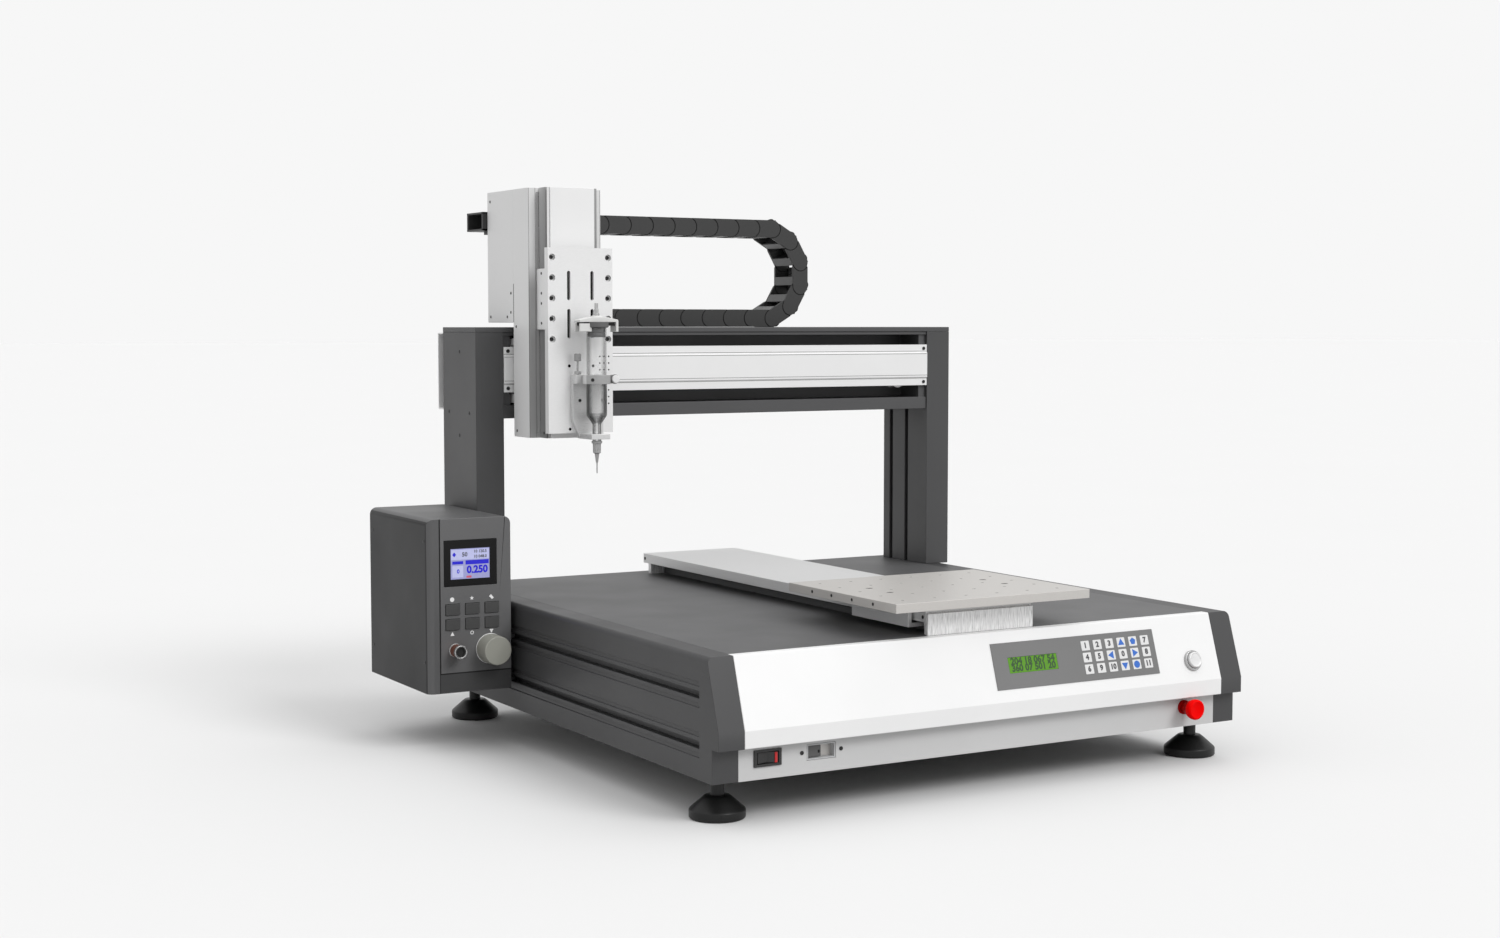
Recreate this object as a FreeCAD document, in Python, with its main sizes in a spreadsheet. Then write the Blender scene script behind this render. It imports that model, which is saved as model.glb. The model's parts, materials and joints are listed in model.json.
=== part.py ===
import FreeCAD, Part
import math
import os
import re

import Sketcher
from FreeCAD import Placement, Rotation, Vector

# Desktop dispensing robot. Lengths are millimetres and angles are degrees.
# The origin is on the bench, under the middle of the base. +X is to the right of
# someone who stands in front, +Y points to the back and +Z up.
# At rest the head is at the left end of its travel, the work plate is at the
# front and the syringe is up.

SIZES = {
    # Base: cheeks left and right, with a leaning front and a stepped-back foot
    "base_width": 730.0,
    "base_depth": 756.0,
    "base_height": 134.0,
    "foot_height": 46.0,
    "front_lean": 25.0,
    "knee_height": 56.5,
    "nose_height": 37.4,
    "nose_step": 14.0,
    "side_wall": 32.0,
    "edge_round": 7.0,
    "deck_wall": 4.0,
    "tray_wall": 2.5,
    "shell_wall": 2.0,
    "shell_flange": 12.0,
    "strip_wall": 3.0,
    # Grooves along the outside of a cheek
    "groove_high": 92.0,
    "groove_low": 38.0,
    "groove_width": 8.0,
    "groove_depth": 9.0,
    "groove_start": 42.0,
    "flute_offset": 11.3,
    "flute_width": 5.0,
    "flute_depth": 1.5,
    # Levelling feet
    "foot_radius": 31.0,
    "foot_rim": 11.0,
    "foot_cone": 14.0,
    "foot_neck_radius": 12.0,
    "stud_radius": 7.0,
    "lock_nut_height": 8.0,
    "foot_inset_side": 30.5,
    "foot_inset_front": 57.3,
    "foot_inset_back": 25.7,
    # Things on the front, measured from the middle and up the leaning face
    "overlay_left": 0.0,
    "overlay_width": 239.0,
    "overlay_start": 14.2,
    "overlay_height": 53.6,
    "overlay_wall": 0.8,
    "display_left": 21.0,
    "display_width": 70.0,
    "display_start": 32.0,
    "display_height": 18.4,
    "display_depth": 9.0,
    "start_inset": 40.3,
    "start_up": 25.3,
    "start_radius": 9.5,
    "start_proud": 7.0,
    "start_ring_radius": 12.0,
    "start_ring_proud": 2.5,
    "start_travel": 3.0,
    "estop_inset": 48.0,
    "estop_height": 24.0,
    "estop_radius": 12.3,
    "estop_length": 20.0,
    "estop_stem_radius": 6.0,
    "estop_collar_radius": 12.8,
    "estop_collar_length": 7.0,
    "estop_travel": 4.0,
    "rocker_inset": 35.5,
    "rocker_z": 69.0,
    "rocker_width": 26.0,
    "rocker_height": 12.0,
    "rocker_frame_width": 34.0,
    "rocker_frame_height": 18.4,
    "rocker_frame_proud": 2.0,
    "rocker_tilt": 12.0,
    "port_inset": 103.7,
    "port_width": 37.0,
    "port_height": 18.0,
    "port_depth": 10.0,
    # Work plate and the module under it
    "plate_width": 271.0,
    "plate_depth": 228.4,
    "plate_wall": 10.5,
    "plate_height": 223.0,
    "plate_front": 9.6,
    "plate_hole_pitch": 43.5,
    "plate_hole_radius": 2.1,
    "plate_bore_radius": 4.5,
    "y_travel": 500.0,
    "cover_width": 148.0,
    "cover_height": 13.0,
    "cover_wall": 2.0,
    "cover_top": 207.5,
    "module_front": 37.0,
    "module_back": 19.0,
    "end_plate_wall": 4.0,
    "end_plate_height": 24.6,
    "end_block_depth": 8.0,
    "bed_width": 100.0,
    "bed_wall": 8.0,
    "bed_slot": 32.0,
    "y_rail_x": 34.0,
    "rail_width": 12.0,
    "rail_height": 8.0,
    "block_width": 27.0,
    "block_length": 35.0,
    "block_height": 13.0,
    "saddle_front": 66.0,
    "saddle_length": 118.0,
    "saddle_wall": 5.0,
    "saddle_gap": 2.0,
    "saddle_drop": 8.0,
    "nut_length": 40.0,
    "nut_width": 24.0,
    "y_screw_drop": 40.0,
    "y_screw_radius": 6.0,
    "bearing_depth": 14.0,
    "big_motor": 56.0,
    "big_motor_length": 50.0,
    # Gantry
    "column_width": 39.0,
    "column_depth": 112.0,
    "column_back": 18.0,
    "column_overhang": 7.6,
    "slot_mouth": 8.0,
    "slot_lip": 4.0,
    "slot_room": 16.0,
    "slot_depth": 12.0,
    "slot_rear": 20.0,
    "slot_pitch": 40.0,
    "beam_top": 526.5,
    "top_plate_wall": 6.5,
    "beam_height": 118.5,
    "beam_front_inset": 2.0,
    "beam_flange": 4.5,
    "beam_foot": 17.0,
    "beam_web_front": 52.0,
    "beam_web": 12.0,
    "beam_end_block": 11.6,
    "front_cover_bottom": 442.0,
    "front_cover_height": 59.0,
    "front_cover_wall": 5.0,
    "front_cover_band": 11.0,
    "front_cover_step": 1.5,
    "rear_cover_bottom": 417.0,
    "rear_cover_height": 102.0,
    "rear_cover_wall": 2.0,
    # Drive of the head along the beam
    "x_travel": 500.0,
    "x_rail_z": 486.0,
    "x_rail_width": 20.0,
    "x_rail_height": 17.0,
    "belt_z": 450.0,
    "belt_width": 15.0,
    "belt_wall": 1.5,
    "belt_gap": 9.0,
    "pulley_radius": 9.5,
    "pulley_inset": 33.6,
    "axle_radius": 3.0,
    "running_clearance": 0.05,
    "small_motor": 42.0,
    "small_motor_length": 46.0,
    "pilot_radius": 11.0,
    "pilot_height": 2.0,
    # Head
    "head_inset": 60.1,
    "head_width": 102.0,
    "head_bottom": 385.4,
    "head_top": 703.5,
    "head_depth": 48.0,
    "head_back_gap": 12.0,
    "head_side_wall": 8.0,
    "head_back_wall": 10.0,
    "head_end_wall": 6.0,
    "head_lip": 11.0,
    "head_lip_wall": 6.0,
    "nose_width": 72.0,
    "nose_depth": 20.0,
    "nose_wall": 2.5,
    "nose_face_width": 62.0,
    "nose_face_wall": 3.5,
    "saddle_plate_wall": 10.0,
    "saddle_face_wall": 6.0,
    "x_saddle_width": 92.0,
    "rear_cover_gap": 6.1,
    "head_cover_depth": 83.0,
    "head_cover_wall": 1.5,
    # Z stage
    "z_travel": 100.0,
    "carriage_drop": 180.0,
    "carriage_height": 77.0,
    "carriage_wall": 14.0,
    "arm_wall": 3.0,
    "arm_gap": 0.5,
    "arm_block_wall": 7.0,
    "arm_block_depth": 25.6,
    "z_screw_radius": 5.0,
    "z_screw_clearance": 0.3,
    "z_rail_x": 24.0,
    "z_axis_inset": 31.5,
    "tool_plate_width": 90.0,
    "tool_plate_height": 234.0,
    "tool_plate_drop": 130.9,
    "tool_plate_wall": 10.0,
    "tool_slot_width": 4.5,
    "tool_slot_length": 37.0,
    "tool_slot_spacing": 32.5,
    "tool_slot_step": 48.0,
    "tool_screw_inset": 6.0,
    "tool_screw_pitch": 25.8,
    "tool_screw_radius": 2.6,
    # Syringe and its holder
    "syringe_x": 7.5,
    "syringe_reach": 30.0,
    "barrel_radius": 13.0,
    "barrel_wall": 1.2,
    "barrel_top_up": 133.4,
    "barrel_bottom_up": 24.2,
    "cone_bottom_up": 12.4,
    "luer_radius": 5.5,
    "luer_bottom_up": -8.6,
    "holder_wall": 8.0,
    "holder_left": 22.5,
    "holder_right": 20.0,
    "holder_bottom_up": -6.6,
    "holder_shelf": 6.6,
    "ring_bottom_up": 62.9,
    "ring_height": 11.5,
    "ring_wall": 4.3,
    "ring_gap": 0.3,
    "knob_radius": 6.0,
    "knob_length": 10.0,
    "thumb_radius": 4.4,
    "thumb_head": 11.0,
    "thumb_stem": 12.0,
    "thumb_inset": 4.6,
    "clamp_stem": 1.8,
    "clamp_reach": 24.4,
    "adapter_height": 9.5,
    "adapter_length": 54.0,
    "adapter_width": 17.0,
    "adapter_cap_radius": 16.0,
    "fitting_radius": 2.8,
    "fitting_height": 20.0,
    "hub_flange_radius": 6.2,
    "hub_radius": 4.6,
    "hub_length": 15.5,
    "needle_cone": 13.0,
    "needle_radius": 0.8,
    "needle_length": 12.5,
    # Energy chain
    "chain_pitch": 34.1,
    "chain_height": 24.5,
    "chain_width": 54.0,
    "chain_cheek": 4.0,
    "chain_bar": 2.5,
    "chain_bar_length": 13.0,
    "chain_joint_gap": 0.5,
    "chain_pin_radius": 3.0,
    "chain_turn_reach": 388.5,
    "chain_setback": 72.0,
    "chain_lift": 0.3,
    "chain_foot": 16.0,
    "chain_end": 36.0,
    # Dispensing controller on the left column
    "box_width": 110.5,
    "box_depth": 203.0,
    "box_height": 216.5,
    "box_bottom": 75.0,
    "box_reach": 108.0,
    "box_gap": 0.4,
    "box_round": 9.0,
    "box_wall": 2.5,
    "box_strip": 16.0,
    "box_foot": 24.0,
    "box_seam": 0.8,
    "box_panel_wall": 4.0,
    "hook_inset": 20.0,
    "screen_left": 13.4,
    "screen_width": 70.3,
    "screen_bottom": 132.2,
    "screen_height": 57.3,
    "key_width": 18.5,
    "key_height": 13.5,
    "key_pitch_across": 26.0,
    "key_pitch_up": 18.5,
    "key_left": 22.7,
    "key_bottom": 78.3,
    "key_proud": 1.4,
    "key_travel": 0.8,
    "dial_x": 82.0,
    "dial_z": 52.0,
    "dial_radius": 18.6,
    "dial_length": 26.0,
    "socket_x": 35.5,
    "socket_z": 53.0,
    "socket_radius": 8.5,
    "socket_length": 16.0,
    # Fits
    "seat_gap": 0.3,
    "slide_gap": 0.5,
}

# Links of the energy chain: on the beam, in the half-turn and on the way back
CHAIN_LOW_LINKS = 9
CHAIN_TURNS = 6
CHAIN_HIGH_LINKS = 12

# Places worked out from the sizes
PLACES = {
    "base_front": "-base_depth / 2",
    "base_back": "base_depth / 2",
    "inner_half": "base_width / 2 - side_wall",
    "base_top": "foot_height + base_height",
    "knee_z": "foot_height + knee_height",
    "nose_z": "foot_height + nose_height",
    "lean_rise": "base_height - knee_height",
    "lean_length": "sqrt(front_lean^2 + lean_rise^2)",
    "lean_sin": "front_lean / lean_length",
    "lean_cos": "lean_rise / lean_length",
    "strip_front": "base_front + nose_step",
    "deck_front": "base_front + front_lean + shell_flange",
    "module_start": "base_front + module_front",
    "module_end": "base_back - module_back",
    "cover_under": "cover_top - cover_wall",
    "bed_top": "base_top + bed_wall",
    "block_top": "bed_top + block_height",
    "saddle_y": "base_front + saddle_front",
    "skirt_out": "cover_width / 2 + saddle_gap + saddle_wall",
    "flange_top": "cover_top - cover_height - 3",
    "nut_y": "saddle_y + (saddle_length - nut_length) / 2",
    "y_axis_z": "base_top - y_screw_drop",
    "slot_from": "nut_y - 10",
    "slot_to": "nut_y + nut_length + y_travel + 6",
    "bearing_front_y": "slot_from - 10 - bearing_depth",
    "bearing_rear_y": "slot_to + 6",
    "y_motor_y": "base_back - tray_wall - 3.5 - big_motor_length",
    "column_front": "base_back - column_back - column_depth",
    "column_rear": "base_back - column_back",
    "start_x": "inner_half - start_inset",
    "estop_x": "inner_half - estop_inset",
    "rocker_x": "rocker_inset - inner_half",
    "port_x": "port_inset - inner_half",
    "column_outer": "base_width / 2 + column_overhang",
    "column_inner": "column_outer - column_width",
    "column_top": "beam_top - top_plate_wall",
    "pulley_x": "column_inner - pulley_inset",
    "head_x": "head_inset - column_inner",
    "beam_bottom": "beam_top - beam_height",
    "beam_front": "column_front + beam_front_inset",
    "web_y": "column_front + beam_web_front",
    "web_back": "web_y + beam_web",
    "belt_y": "web_y - belt_gap - belt_width",
    "rail_front": "web_y - x_rail_height",
    "head_back": "column_front - head_back_gap",
    "head_front": "head_back - head_depth",
    "nose_front": "head_front - nose_depth",
    "saddle_back": "web_y - 30",
    "saddle_plate_y": "saddle_back - saddle_plate_wall",
    "stage_back": "nose_front - nose_face_wall - 12.5",
    "plate_face": "stage_back - tool_plate_wall",
    "z_axis_y": "head_back - z_axis_inset",
    "carriage_bottom": "head_top - carriage_drop",
    "tool_plate_bottom": "carriage_bottom - tool_plate_drop",
    "barrel_top": "tool_plate_bottom + barrel_top_up",
    "barrel_bottom": "tool_plate_bottom + barrel_bottom_up",
    "cone_bottom": "tool_plate_bottom + cone_bottom_up",
    "luer_bottom": "tool_plate_bottom + luer_bottom_up",
    "holder_bottom": "tool_plate_bottom + holder_bottom_up",
    "ring_bottom": "tool_plate_bottom + ring_bottom_up",
    "arm_in": "nose_width / 2 + arm_gap",
    "tool_x": "head_x + syringe_x",
    "tool_y": "plate_face - syringe_reach",
    "chain_front": "column_front + chain_setback",
    "chain_bend_x": "head_x + chain_turn_reach",
    "chain_low": "beam_top + chain_lift + chain_height / 2",
    "chain_rise": "chain_pitch * (2 * sin(30) + 2 * sin(60) + 1)",
    "chain_high": "chain_low + chain_rise",
    "head_cover_back": "head_back + head_cover_depth",
    "head_cover_bottom": "beam_top + rear_cover_gap",
    "box_front": "column_front - box_reach",
    "box_right": "-column_outer - box_gap",
    "box_left": "box_right - box_width",
    "panel_left": "box_left + box_strip",
    "panel_width": "box_width - box_strip",
}

doc = FreeCAD.newDocument("DispensingRobot")
sheet = doc.addObject("Spreadsheet::Sheet", "Sizes")
for row, (word, number) in enumerate(SIZES.items(), start=1):
    sheet.set(f"A{row}", word)
    sheet.set(f"B{row}", str(number))
    sheet.setAlias(f"B{row}", word)
doc.recompute()


def bound(formula, flat=False):
    """A formula in the words above, written so that the document can follow it."""

    def point(match):
        word = match.group(0)
        if word in SIZES:
            return "Sizes." + word
        if word in PLACES:
            return "(" + bound(PLACES[word], True) + ")" if flat else "Places." + word
        return word

    return re.sub(r"[a-z_]+", point, str(formula))


places = doc.addObject("App::VarSet", "Places")
for word, formula in PLACES.items():
    places.addProperty("App::PropertyFloat", word, "Places", "worked out from the sizes")
    places.setExpression(word, bound(formula, True))
doc.recompute()

made = []


def at(word):
    """The number that a size or a place has now."""
    return float(getattr(sheet if word in SIZES else places, word))


def keep(thing, label):
    thing.Label = label
    made.append(thing)
    return thing


def move(thing, x, y, z):
    for axis, formula in zip("xyz", (x, y, z)):
        thing.setExpression("Placement.Base." + axis, bound(formula))


# Boxes, rods, tubes, and how they are put together

def block(x, y, z, across, deep, high):
    """A box from its lowest corner and its sizes."""
    thing = doc.addObject("Part::Box", "block")
    for name, formula in (("Length", across), ("Width", deep), ("Height", high)):
        thing.setExpression(name, bound(formula))
    move(thing, x, y, z)
    return thing


TURNS = {"x": Rotation(Vector(0, 1, 0), 90), "y": Rotation(Vector(1, 0, 0), -90),
         "z": Rotation(), "front": Rotation(Vector(1, 0, 0), 90)}


def rod(x, y, z, radius, length, axis="z"):
    """A cylinder from the middle of its first end, along an axis."""
    thing = doc.addObject("Part::Cylinder", "rod")
    thing.Placement = Placement(Vector(), TURNS[axis])
    thing.setExpression("Radius", bound(radius))
    thing.setExpression("Height", bound(length))
    move(thing, x, y, z)
    return thing


def fused(things, name="fused"):
    if len(things) == 1:
        return things[0]
    thing = doc.addObject("Part::MultiFuse", name)
    thing.Shapes = things
    return thing


def cut(base, tools, name="cut"):
    thing = doc.addObject("Part::Cut", name)
    thing.Base = base
    thing.Tool = fused(tools, name + "_tools")
    return thing


def long_hole(x, y, low, radius, length, deep):
    """An upright slot with round ends, cut along +Y."""
    ends = [rod(x, y, f"{low} + {radius}", radius, deep, "y"),
            rod(x, y, f"{low} + {length} - {radius}", radius, deep, "y")]
    return fused(ends + [block(f"{x} - {radius}", y, f"{low} + {radius}", f"2 * {radius}", deep,
                               f"{length} - 2 * {radius}")])


def group(things, name="group"):
    thing = doc.addObject("Part::Compound", name)
    thing.Links = things
    return thing


# Bodies drawn as sketches

def body_of(label):
    return keep(doc.addObject("PartDesign::Body", label), label)


def sketch_on(body, role, offset="0"):
    sketch = body.newObject("Sketcher::SketchObject", body.Name + "_sketch")
    plane = [p for p in body.Origin.OriginFeatures if p.Role == role][0]
    sketch.AttachmentSupport = [(plane, "")]
    sketch.MapMode = "FlatFace"
    sketch.setExpression("AttachmentOffset.Base.z", bound(offset))
    return sketch


def tie(sketch, kind, part, point, formula):
    """One dimension of a sketch, bound to its formula."""
    if point is None:
        number = sketch.addConstraint(Sketcher.Constraint(kind, part, 5.0))
    else:
        number = sketch.addConstraint(Sketcher.Constraint(kind, part, point, 1.0))
    sketch.setExpression(f"Constraints[{number}]", bound(formula))


def outline(sketch, corners):
    """A closed outline of straight runs through corners given as formulas."""
    count = len(corners)
    start = sketch.GeometryCount
    ring = [Vector(math.cos(2 * math.pi * k / count), math.sin(2 * math.pi * k / count), 0)
            for k in range(count)]
    for k in range(count):
        sketch.addGeometry(Part.LineSegment(ring[k], ring[(k + 1) % count]), False)
    for k in range(count):
        after = start + (k + 1) % count
        sketch.addConstraint(Sketcher.Constraint("Coincident", start + k, 2, after, 1))
    for k, (across, up) in enumerate(corners):
        tie(sketch, "DistanceX", start + k, 1, across)
        tie(sketch, "DistanceY", start + k, 1, up)


def oblong(sketch, across, up, width, height):
    """A rectangle from its lowest corner."""
    right = f"({across}) + ({width})"
    top = f"({up}) + ({height})"
    outline(sketch, [(across, up), (right, up), (right, top), (across, top)])


def circle(sketch, across, up, radius):
    part = sketch.addGeometry(Part.Circle(Vector(1, 1, 0), Vector(0, 0, 1), 5.0), False)
    tie(sketch, "DistanceX", part, 3, across)
    tie(sketch, "DistanceY", part, 3, up)
    tie(sketch, "Radius", part, None, radius)


def pad(body, sketch, length, middle=False, back=False):
    feature = body.newObject("PartDesign::Pad", body.Name + "_pad")
    feature.Profile = sketch
    feature.setExpression("Length", bound(length))
    feature.Midplane = middle
    feature.Reversed = back
    sketch.Visibility = False
    return feature


def pocket(body, sketch, length=None, back=False, middle=False):
    """A pocket of some depth, or right through both ways."""
    feature = body.newObject("PartDesign::Pocket", body.Name + "_pocket")
    feature.Profile = sketch
    if length is None:
        feature.Type = 1
        feature.Midplane = True
    else:
        feature.setExpression("Length", bound(length))
        feature.Midplane = middle
    feature.Reversed = back
    doc.recompute()
    return feature


def turned(label, profile, x, y, z, axis="z"):
    """A turned piece: its profile is radius and height, from its foot upwards."""
    body = body_of(label)
    sketch = sketch_on(body, "XZ_Plane")
    outline(sketch, profile)
    feature = body.newObject("PartDesign::Revolution", label + "_turned")
    feature.Profile = sketch
    feature.ReferenceAxis = (sketch, ["V_Axis"])
    feature.Angle = 360
    body.Placement = Placement(Vector(), TURNS[axis])
    move(body, x, y, z)
    return body


def round_edges(body, radius, chosen):
    """Rounds the edges that the test picks."""
    doc.recompute()
    tip = body.Tip
    names = [f"Edge{k}" for k, edge in enumerate(tip.Shape.Edges, start=1) if chosen(edge)]
    feature = body.newObject("PartDesign::Fillet", body.Name + "_round")
    feature.Base = (tip, names)
    feature.setExpression("Radius", bound(radius))
    return feature


def up_slope(run, out):
    """Y and Z of a point up the leaning face and out of it."""
    return (f"base_front + ({run}) * lean_sin - ({out}) * lean_cos",
            f"knee_z + ({run}) * lean_cos + ({out}) * lean_sin")


def lean(thing, x, run, out):
    """Turns a piece into the leaning face, and sets its corner there."""
    thing.Placement = Placement(Vector(), Rotation(Vector(1, 0, 0), -10))
    thing.setExpression("Placement.Rotation.Angle", bound("-atan(front_lean / lean_rise)"))
    y, z = up_slope(run, out)
    move(thing, x, y, z)
    return thing


def lean_block(x, run, out, across, deep, high):
    """A box in the leaning face: its front lies out of the face by out."""
    return lean(block("0", "0", "0", across, deep, high), x, run, out)


def lean_rod(x, run, inner, outer, radius):
    """A rod square to the leaning face, from inner to outer."""
    thing = doc.addObject("Part::Cylinder", "rod")
    thing.Placement = Placement(Vector(), Rotation(Vector(1, 0, 0), 80))
    thing.setExpression("Placement.Rotation.Angle", bound("90 deg - atan(front_lean / lean_rise)"))
    thing.setExpression("Radius", bound(radius))
    thing.setExpression("Height", bound(f"({outer}) - ({inner})"))
    y, z = up_slope(run, inner)
    move(thing, x, y, z)
    return thing


# Base

def side_frame(side, sign):
    """A cheek: stepped front outline, with two T-grooves and flutes outside."""
    body = body_of("side_frame_" + side)
    inner = "inner_half" if sign > 0 else "-inner_half"
    sketch = sketch_on(body, "YZ_Plane", inner)
    outline(sketch, [("strip_front", "foot_height"), ("base_back", "foot_height"),
                     ("base_back", "base_top"), ("base_front + front_lean", "base_top"),
                     ("base_front", "knee_z"), ("base_front", "nose_z"),
                     ("strip_front", "nose_z")])
    pad(body, sketch, "side_wall", back=sign < 0)
    outer = sign * at("base_width") / 2
    top = at("base_top")
    round_edges(body, "edge_round",
                lambda e: abs(e.CenterOfMass.x - outer) < 0.1 and abs(e.CenterOfMass.z - top) < 0.1)
    face = "base_width / 2" if sign > 0 else "-base_width / 2"
    lengthwise = "base_depth - groove_start + 1"
    for height in ("groove_high", "groove_low"):
        slot = sketch_on(body, "YZ_Plane", face)
        oblong(slot, "base_front + groove_start", f"foot_height + {height} - groove_width / 2",
               lengthwise, "groove_width")
        pocket(body, slot, "groove_depth", back=sign < 0)
        for way in ("+", "-"):
            flute = sketch_on(body, "YZ_Plane", face)
            oblong(flute, "base_front + groove_start",
                   f"foot_height + {height} {way} flute_offset - flute_width / 2",
                   lengthwise, "flute_width")
            pocket(body, flute, "flute_depth", back=sign < 0)
    return body


def deck_plate():
    """Top sheet between the cheeks, slotted for the nut of the work plate."""
    body = body_of("deck_plate")
    sketch = sketch_on(body, "XY_Plane", "base_top")
    oblong(sketch, "-inner_half", "deck_front", "2 * inner_half", "base_back - deck_front")
    oblong(sketch, "-bed_slot / 2", "slot_from", "bed_slot", "slot_to - slot_from")
    pad(body, sketch, "deck_wall", back=True)


def base_tray():
    """Floor and back wall of the base, folded from one sheet."""
    body = body_of("base_tray")
    sketch = sketch_on(body, "YZ_Plane")
    outline(sketch, [("strip_front + strip_wall", "foot_height"), ("base_back", "foot_height"),
                     ("base_back", "base_top - deck_wall"),
                     ("base_back - tray_wall", "base_top - deck_wall"),
                     ("base_back - tray_wall", "foot_height + tray_wall"),
                     ("strip_front + strip_wall", "foot_height + tray_wall")])
    pad(body, sketch, "2 * inner_half", middle=True)


def front_shell():
    """White sheet over the front: a flange on top, the leaning face and the nose."""
    body = body_of("front_shell")
    sketch = sketch_on(body, "YZ_Plane")
    outline(sketch, [("deck_front", "base_top"), ("base_front + front_lean", "base_top"),
                     ("base_front", "knee_z"), ("base_front", "nose_z"), ("strip_front", "nose_z"),
                     ("strip_front", "nose_z + shell_wall"),
                     ("base_front + shell_wall", "nose_z + shell_wall"),
                     ("base_front + shell_wall", "knee_z"),
                     ("base_front + front_lean + shell_wall", "base_top - shell_wall"),
                     ("deck_front", "base_top - shell_wall")])
    pad(body, sketch, "2 * inner_half", middle=True)
    sheet_body = doc.addObject("Part::Cut", "front_shell_cut")
    made.remove(body)
    body.Label = "front_sheet"
    sheet_body.Base = body
    window = lean_block("display_left - 4", "display_start - 4", "5",
                        "display_width + 8", "12", "display_height + 8")
    hole = lean_rod("start_x", "start_up", "-6", "6", "start_radius + seat_gap")
    sheet_body.Tool = fused([window, hole])
    keep(sheet_body, "front_shell")


def switch_strip():
    """Lower white strip with the holes for switch, port and emergency stop."""
    body = body_of("switch_strip")
    sketch = sketch_on(body, "XZ_Plane", "-strip_front")
    oblong(sketch, "-inner_half", "foot_height", "2 * inner_half", "nose_height")
    oblong(sketch, "rocker_x - rocker_frame_width / 2 + 2",
           "rocker_z - rocker_frame_height / 2 + 2",
           "rocker_frame_width - 4", "rocker_frame_height - 4")
    oblong(sketch, "port_x - port_width / 2", "rocker_z - port_height / 2",
           "port_width", "port_height")
    circle(sketch, "estop_x", "foot_height + estop_height", "estop_stem_radius + slide_gap")
    pad(body, sketch, "strip_wall", back=True)


def keypad_overlay():
    """Membrane on the leaning face, with a window for the display."""
    sheet_block = lean_block("overlay_left", "overlay_start", "overlay_wall",
                             "overlay_width", "overlay_wall", "overlay_height")
    window = lean_block("display_left", "display_start", "overlay_wall + 1",
                        "display_width", "overlay_wall + 2", "display_height")
    keep(cut(sheet_block, [window]), "keypad_overlay")


def display_module():
    """Display whose glass fills the window, on its wider frame behind the shell."""
    glass = lean_block("display_left + seat_gap", "display_start + seat_gap", "overlay_wall",
                       "display_width - 2 * seat_gap", "display_depth",
                       "display_height - 2 * seat_gap")
    frame = lean_block("display_left - 3.5", "display_start - 3.5", "-0.1",
                       "display_width + 7", "display_depth", "display_height + 7")
    keep(fused([glass, frame]), "display_module")


def start_button():
    """Start button: a cap with a dished face on a stem."""
    cap = lean_rod("start_x", "start_up", "-10", "start_proud", "start_radius")
    dish = lean_rod("start_x", "start_up", "start_proud - 0.8", "start_proud + 1",
                    "start_radius - 1.5")
    keep(cut(cap, [dish]), "start_button")


def estop_cap():
    """Mushroom head of the emergency stop, with a waist and a stem."""
    turned("estop_cap",
           [("0", "-10"), ("estop_stem_radius", "-10"),
            ("estop_stem_radius", "estop_collar_length + estop_travel + 1.5"),
            ("estop_radius - 2.5", "estop_collar_length + estop_travel + 1.5"),
            ("estop_radius", "estop_collar_length + estop_travel + 4"),
            ("estop_radius", "estop_collar_length + estop_length - 6"),
            ("estop_radius - 1.5", "estop_collar_length + estop_length - 2"),
            ("estop_radius - 4.5", "estop_collar_length + estop_length"),
            ("0", "estop_collar_length + estop_length")],
           "estop_x", "strip_front", "foot_height + estop_height", "front")


def panel_fittings():
    """Ring of the start button, collar of the stop, frame of the rocker, port."""
    ring = cut(lean_rod("start_x", "start_up", "0", "start_ring_proud", "start_ring_radius"),
               [lean_rod("start_x", "start_up", "-1", "start_ring_proud + 1",
                         "start_radius + seat_gap")])
    collar = cut(rod("estop_x", "strip_front", "foot_height + estop_height",
                     "estop_collar_radius", "estop_collar_length", "front"),
                 [rod("estop_x", "strip_front + 1", "foot_height + estop_height",
                      "estop_stem_radius + slide_gap", "estop_collar_length + 2", "front")])
    frame = cut(fused([block("rocker_x - rocker_frame_width / 2",
                             "strip_front - rocker_frame_proud",
                             "rocker_z - rocker_frame_height / 2", "rocker_frame_width",
                             "rocker_frame_proud", "rocker_frame_height"),
                       block("rocker_x - rocker_frame_width / 2 + 2.3", "strip_front - 0.5",
                             "rocker_z - rocker_frame_height / 2 + 2.3",
                             "rocker_frame_width - 4.6", "20", "rocker_frame_height - 4.6")]),
                [block("rocker_x - rocker_width / 2 - slide_gap",
                       "strip_front - rocker_frame_proud - 1",
                       "rocker_z - rocker_height / 2 - slide_gap",
                       "rocker_width + 2 * slide_gap", "16", "rocker_height + 2 * slide_gap")])
    port = cut(block("port_x - port_width / 2 + seat_gap", "strip_front + 1",
                     "rocker_z - port_height / 2 + seat_gap", "port_width - 2 * seat_gap",
                     "port_depth", "port_height - 2 * seat_gap"),
               [block("port_x - port_width / 2 + 2", "strip_front",
                      "rocker_z - port_height / 2 + 2", "port_width - 4",
                      "port_depth - 2", "port_height - 4")])
    insert = block("port_x - port_width / 2 + 6", "strip_front + 4",
                   "rocker_z - port_height / 2 + 5", "port_width - 12",
                   "port_depth - 3", "port_height - 10")
    keep(group([ring, collar, frame, fused([port, insert])]), "panel_fittings")


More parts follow.
